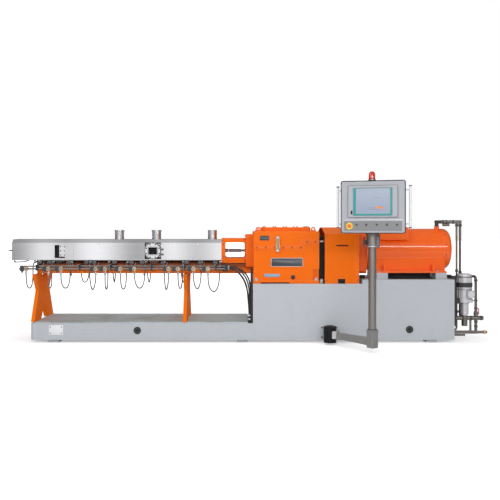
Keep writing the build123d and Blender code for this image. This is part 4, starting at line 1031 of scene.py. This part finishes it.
class MESH_OT_extruder_barrel_fittings(bpy.types.Operator):
    """Set what stands round the barrels: painted shade in recesses, cover edging, port bolts, knobs and
    terminals.
    """

    bl_idname = "mesh.extruder_barrel_fittings"
    bl_label = "Barrel fittings"

    def execute(self, context):
        edging = repeat(block((-2571, -3.2, 880), (-235, 3.2, 886), 0.8), grid(0, (-153.6, 153.6), 0))
        piece("cover_bright_edge", edging, "bright_edge")
        # Painted shade: dark blocks in the window's recess, where shade falls.
        recess_shade = block((-2094, -113, 906), (-2053, -106, 1049), 1)
        recess_shade = joined(recess_shade, block((-2051, -114.9, 906), (-2048, -110, 1049), 0.5))
        piece("window_recess", recess_shade, "shadow")
        piece("window_bolts", bolts(grid((-2038, -1994), -115, (938, 984, 1030)), FRONT, 5.5), "bolt")
        under = block((-2092, -166, 862), (-1984, -118, 879), 3)
        under = joined(under, block((-2070, -172, 846), (-2010, -120, 862), 3))
        piece("window_lower_block", under, "black_paint")
        # Painted shade: a dark sheet inside the side feed's mouth, where shade falls.
        piece("side_feed_throat", block((-1044, -107.5, 947), (-952, -105.5, 1023), 0.5), "shadow")
        piece("side_feed_bolts", bolts(around(8, 78, FRONT, SIDE_FEED), FRONT, 7), "bolt")
        piece("side_feed_rim", moved(band(112, 95, 4, 7, 0, 4), SIDE_FEED), "barrel")
        knob = turned([(5, 0), (5, 16), (11, 18), (12, 22), (12, 28), (9, 31)], 20, FRONT)
        piece("side_feed_knobs", repeat(knob, grid(-892, -COVER_FACE, (946, 1000))), "dark_steel")
        heater = block((-1041, -166, 858), (-933, -118, 879), 3)
        heater = joined(heater, block((-1026, -170, 838), (-948, -124, 858), 3))
        piece("side_feed_lower_block", heater, "brown_block")
        holes = around(8, 70, LEFT, (DIE_FACE, 0, SCREW_AXIS))
        piece("die_bolt_holes", repeat(ring(5.5, 8, -0.4, 0.2, LEFT, sides=20), holes), "dark_steel")
        path = [(-2548, -144, 875), (-2534, -144, 859), (-2440, -144, 864), (-2388, -144, 876)]
        piece("cover_end_strap", swept(rounded(10, 24, 3), path, (0, 1, 0)), "rubber")
        box = joined(
            block((-24, -214, 838), (24, -176, 870), 3),
            repeat(turned([(7, 0), (8, 2), (8, 10), (5, 13)], 12, FRONT), grid((-11, 11), -214, 854)),
            block((-20, -190, 870), (-8, -150, 878), 2),
        )
        spots = grid((-2250, -2140, -1925, -1730, -1640, -1420, -1230, -1110, -880, -620, -470, -300), 0, 0)
        piece("barrel_terminals", repeat(box, spots), "dark_steel")
        path = [
            (0, -205, 838), (2, -214, 818), (14, -224, 806),
            (34, -222, 812), (44, -212, 834), (46, -190, 858),
        ]
        lead = swept(rounded(7, 7, 3.4), path, (0.3, 1, 0.2))
        piece("terminal_leads", repeat(lead, spots[::2]), "zinc")
        funnel = turned([(13, -28), (15, -26), (26, 2), (26, 6), (12, 6)], 24, UP, (-2216, -100, 874))
        piece("barrel_funnel", funnel, "dark_steel")
        nipple = joined(turned([(8, 0), (8, 34)], 16), turned([(12, 8), (12, 18)], 6))
        piece("barrel_nipple", moved(nipple, (-2330, -100, 846)), "zinc")
        breaks = [BARREL_END - BARREL_PITCH * step for step in (4, 8)]
        seams = repeat(block((-0.8, -150.7, 888), (0.8, -149.5, 1072), 0.3), grid(breaks, 0, 0))
        piece("cover_seams", seams, "dark_steel")
        collar = ring(50.5, 53.5, 0, 3, sides=48)
        piece("stack_collars", repeat(collar, grid(STACKS, 0, 1113.2)), "bright_edge")
        screws = grid((-2520, -1850, -1600, -1180, -820, -500, -260), 1062)
        side_bolts("cover_screws", screws, COVER_FACE, 4.5, "zinc")
        return {"FINISHED"}


class MESH_OT_extruder_cooling_fittings(bpy.types.Operator):
    """Fit the cooling valves: hand wheels, nuts, hose ends, pipe clips, drain cocks and coil nuts."""

    bl_idname = "mesh.extruder_cooling_fittings"
    bl_label = "Cooling fittings"

    def execute(self, context):
        spoke = block((-17, -1.5, -2.5), (17, 1.5, 2.5), 1)
        spokes = joined(spoke, block((-2.5, -1.5, -17), (2.5, 1.5, 17), 1))
        nuts = joined(nut(12, 13, 11, UP), turned([(9, -30), (9, -11)], 16))
        crimps = []
        clips = []
        rows = zip(SIDES, (VALVE_PLACES, REAR_VALVE_PLACES), (ELBOWS, REAR_ELBOWS))
        for (end, side), valves, elbows in rows:
            out = (0, side, 0)
            hub = turned([(8, 0), (8, 9)], 12, out)
            wheel = joined(hub, ring(15, 20, 5, 10, out, sides=24), moved(spokes, (0, side * 7.5, 0)))
            wheels = repeat(wheel, grid(valves, side * 377.8, MANIFOLD_HEIGHT))
            piece(f"valve_wheels_{end}", wheels, "zinc")
            piece(f"hose_nuts_{end}", repeat(nuts, grid(valves, side * NECK_Y, 756)), "zinc")
            sleeve = turned([(8, 0), (9, 2), (9, 22), (7.5, 25)], 16, out)
            crimp = joined(sleeve, turned([(12, -12), (12, -1)], 6, out))
            crimps.append(repeat(crimp, grid(elbows, side * ELBOW_Y, ELBOW_HEIGHT)))
            clips.append(ring(9.7, 13, -7, 7, RIGHT, (0, side * MANIFOLD_Y, MANIFOLD_HEIGHT), 24))
            clips.append(ring(8.2, 11, -7, 7, RIGHT, (0, side * 322, 823), 24))
        piece("hose_crimps", joined(*crimps), "zinc")
        cock = joined(
            turned([(4.5, 0), (4.5, 40)], 12, DOWN),
            turned([(9, 38), (10, 41), (10, 58), (7, 62), (7, 70)], 16, DOWN),
            block((-24, -3, -54), (4, 3, -49), 1.5),
        )
        piece("drain_cocks", repeat(cock, grid((-1862, -1065), -MANIFOLD_Y, 789)), "dark_steel")
        bars = grid((-2227, -1767, -1427, -987, -627, -287), 0, 0)
        piece("pipe_clips", repeat(joined(*clips), bars), "black_plastic")
        cap = joined(turned([(9, 24), (9, 32)], 6), block((-10, -22, -42), (10, 2, -22), 3))
        coils = grid([x - 42 for x in VALVE_PLACES], -362, MANIFOLD_HEIGHT)
        piece("coil_nuts", repeat(cap, coils), "gray_plastic")
        screw = turned([(5, 0), (5, 5)], 6, FRONT, (82, -316, 244))
        clamp = joined(block((58, -316, 236), (106, -304, 252), 3), screw)
        piece("cable_clamps", repeat(clamp, grid(0, 0, (0, 40))), "white_plastic")
        gland = turned([(13, 0), (13, 12), (10.5, 18)], 6, RIGHT)
        piece("cable_glands", repeat(gland, [route[0] for route in CABLE_ROUTES]), "zinc")
        return {"FINISHED"}


class MESH_OT_extruder_base_fittings(bpy.types.Operator):
    """Dress the base: a bright blank plate with corner screws, cap rings and deck screws."""

    bl_idname = "mesh.extruder_base_fittings"
    bl_label = "Base fittings"

    def execute(self, context):
        piece("base_blank_plate", plate((-2014, -400, 137), 152.8, 103.8, 3.8, 3, 0.8), "white_plastic")
        piece("base_plate_screws", bolts(grid((-2074, -1954), -403.8, (103, 171)), FRONT, 5), "bolt")
        caps = []
        for _, side in SIDES:
            out = (0, side, 0)
            lips = joined(ring(31, 38, 0, 3, out, sides=48), turned([(17, 0), (15, 3)], 32, out))
            caps.append(repeat(lips, [(-1136, side * CAP_FACE, 133), (1805, side * CAP_FACE, 144)]))
        piece("base_cap_rings", joined(*caps), "rubber")
        rows = [x for x in np.linspace(-2240, 36, 12) if abs(x + 627) > 60]
        piece("deck_screws", bolts(grid(rows, (-350, 350), DECK_HEIGHT), UP, 5), "zinc")
        joint = block((-1, -372, DECK_HEIGHT - 0.4), (1, 372, DECK_HEIGHT + 0.3), 0.3)
        piece("deck_joints", repeat(joint, grid((-1500, -760), 0, 0)), "dark_steel")
        return {"FINISHED"}


def faced(shape, height=0):
    """A form moved from the origin to the middle of the panel's front."""
    return moved(shape, (PANEL_SIDE, -PANEL_AHEAD, height))


class MESH_OT_extruder_panel_fittings(bpy.types.Operator):
    """Dress the operator panel: gasket, trim, bezel, buttons, screws, beacon and what clamps it."""

    bl_idname = "mesh.extruder_panel_fittings"
    bl_label = "Panel fittings"

    def execute(self, context):
        piece("panel_gasket", faced(band(628, 516, 22, 8, -2, 3), 1444.5), "rubber", PANEL)
        trim = faced(block((-288, -1.5, 1316), (288, 0, 1321), 0.5))
        piece("panel_trim_line", trim, "white_plastic", PANEL)
        outer = faced(band(484, 313, 6, 4, 12, 13.4), 1499)
        inner = faced(band(381, 274, 4, 3, 12, 13.2), 1495)
        piece("screen_bezel", joined(outer, inner), "gray_plastic", PANEL)
        port = plate((-204, -12, 1392), 16, 36, 3.5, 4, 1)
        port = joined(port, block((-207, -17, 1384), (-201, -15, 1400), 0.5))
        piece("panel_port_cover", faced(port), "rubber", PANEL)
        places = grid((-156, -61, 39, 138, 235), -3, 1272)
        rims = repeat(ring(11.3, 15, 0, 3.5, FRONT, sides=28), places)
        piece("button_rims", faced(rims), "chrome", PANEL)
        tops = repeat(turned([(9.5, 9), (9.5, 11), (7.5, 12.5)], 24, FRONT), places)
        piece("button_tops", faced(tops), "black_plastic", PANEL)
        screw = turned([(4.5, 0), (4.5, 1.6), (3.4, 2.6)], 16, FRONT)
        piece("screen_screws", faced(repeat(screw, grid((-232, 232), -12, (1353, 1645)))), "zinc", PANEL)
        rim = ring(12, 14.5, 0, 1.2, FRONT, (-196, -188.3, 1259), 32)
        piece("stop_button_ring", rim, "yellow_plastic", STOP)

        ribs = 1 + 0.035 * np.where(np.arange(24) % 2 == 0, 1, -1)
        angle = np.arange(24) * math.pi / 12
        star = np.column_stack([np.cos(angle) * ribs, np.sin(angle) * ribs])
        dome = tower(star, [(30.8, 22), (31, 26), (30.2, 70), (26, 88), (16, 98), (6, 101.5)])
        lens = piece("beacon_lens", moved(dome, BEACON), "beacon", PANEL, angle=20)
        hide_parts("beacon_dome")
        foot = turned([(38, 0), (38, 14), (35, 17), (35, 22), (31, 24)], 40, UP, BEACON)
        piece("beacon_foot", foot, "black_plastic", PANEL)

        piece("swivel_collar", ring(56.8, 60, 1052, 1064, sides=64), "bright_edge", PANEL)
        path = [(-72, -20, 1150), (-80, -22, 1120), (-82, -22, 1062), (-76, -22, 1046)]
        grip = swept(rounded(14, 9, 4), path, (0, 1, 0))
        lever = joined(block((-84, -16, 1076), (-54, 10, 1120), 4), grip)
        piece("swivel_clamp_lever", lever, "black_plastic", PANEL)
        heads = repeat(turned([(6, 0), (6, 4)], 6, RIGHT), grid(72, 0, (1085, 1145)))
        side = joined(block((36, -34, 1050), (72, 34, 1180), 5), heads)
        piece("swivel_side_block", side, "gray_plastic", PANEL)
        ends = repeat(ring(12.2, 14.2, 0, 10, sides=24), grid((-322.5, 382.5), -110, (1238, 1642)))
        piece("handle_end_rings", ends, "black_plastic", PANEL)
        # Painted shade: the vent slots are dark strips, standing for the shade inside them.
        vents = repeat(block((0, 70, 1230), (150, 72, 1236), 0.8), grid((-180, 90), 0, (0, 42, 84, 126)))
        piece("panel_rear_vents", vents, "shadow", PANEL)
        return {"FINISHED"}


class MESH_OT_extruder_arm_fittings(bpy.types.Operator):
    """Dress the arm: clamp yoke and knuckle at the drum, seams at the elbow and the bracket's bolts."""

    bl_idname = "mesh.extruder_arm_fittings"
    bl_label = "Arm fittings"

    def execute(self, context):
        yoke = joined(block((62, -34, 68), (92, 34, 150), 6), block((90, -31, 74), (124, 31, 142), 5))
        piece("arm_yoke", yoke, "silver_paint", ARM)
        nub = joined(turned([(15, 0), (15, 12), (11, 18)], 20), block((-26, -9, 0), (8, 9, 8), 3))
        piece("arm_knuckle", moved(nub, (122, 0, 139)), "arm", ARM)
        collar = tower(rounded(91, 91, 18), ((1.0, 0), (1.05, 3), (1.05, 16), (1.0, 19)))
        piece("elbow_collar", moved(collar, (POST_ALONG, 0, 206)), "arm", ARM)
        piece("post_seal", ring(38.8, 44, 229, 234, centre=(POST_ALONG, 0, 0), sides=48), "rubber", ARM)
        spots = grid((ARM_PIVOT[0] - 76, ARM_PIVOT[0] + 76), -414, (62, 168))
        piece("bracket_bolts", bolts(spots, FRONT, 8), "bolt")
        cap = turned([(40, 0), (40, 4), (34, 8)], 40, UP, (*ARM_PIVOT[:2], 193))
        piece("drum_cap", cap, "black_paint")
        return {"FINISHED"}


OPERATORS = (
    MESH_OT_extruder_stage,
    MESH_OT_extruder_finishes,
    MESH_OT_extruder_hoses,
    MESH_OT_extruder_cables,
    MESH_OT_extruder_gearbox_fittings,
    MESH_OT_extruder_coupling_fittings,
    MESH_OT_extruder_motor_fittings,
    MESH_OT_extruder_pump_fittings,
    MESH_OT_extruder_barrel_fittings,
    MESH_OT_extruder_cooling_fittings,
    MESH_OT_extruder_base_fittings,
    MESH_OT_extruder_panel_fittings,
    MESH_OT_extruder_arm_fittings,
)


class VIEW3D_PT_extruder(bpy.types.Panel):
    """Lists the extruder's pieces, colours and sizes."""

    bl_idname = "VIEW3D_PT_extruder"
    bl_label = "Extruder"
    bl_space_type = "VIEW_3D"
    bl_region_type = "UI"
    bl_category = "Extruder"

    def draw(self, context):
        for group in (context.scene.extruder_paints, context.scene.extruder_sizes):
            for name in group.__annotations__:
                self.layout.prop(group, name)
        for operator in OPERATORS:
            self.layout.operator(operator.bl_idname)


CLASSES = (ExtruderPaints, ExtruderSizes, *OPERATORS, VIEW3D_PT_extruder)


def register():
    for cls in CLASSES:
        bpy.utils.register_class(cls)
    bpy.types.Scene.extruder_paints = bpy.props.PointerProperty(type=ExtruderPaints)
    bpy.types.Scene.extruder_sizes = bpy.props.PointerProperty(type=ExtruderSizes)


def unregister():
    del bpy.types.Scene.extruder_sizes
    del bpy.types.Scene.extruder_paints
    for cls in reversed(CLASSES):
        bpy.utils.unregister_class(cls)


def main():
    register()
    for operator in OPERATORS:
        group, name = operator.bl_idname.split(".")
        getattr(getattr(bpy.ops, group), name)()


if __name__ == "__main__":
    main()
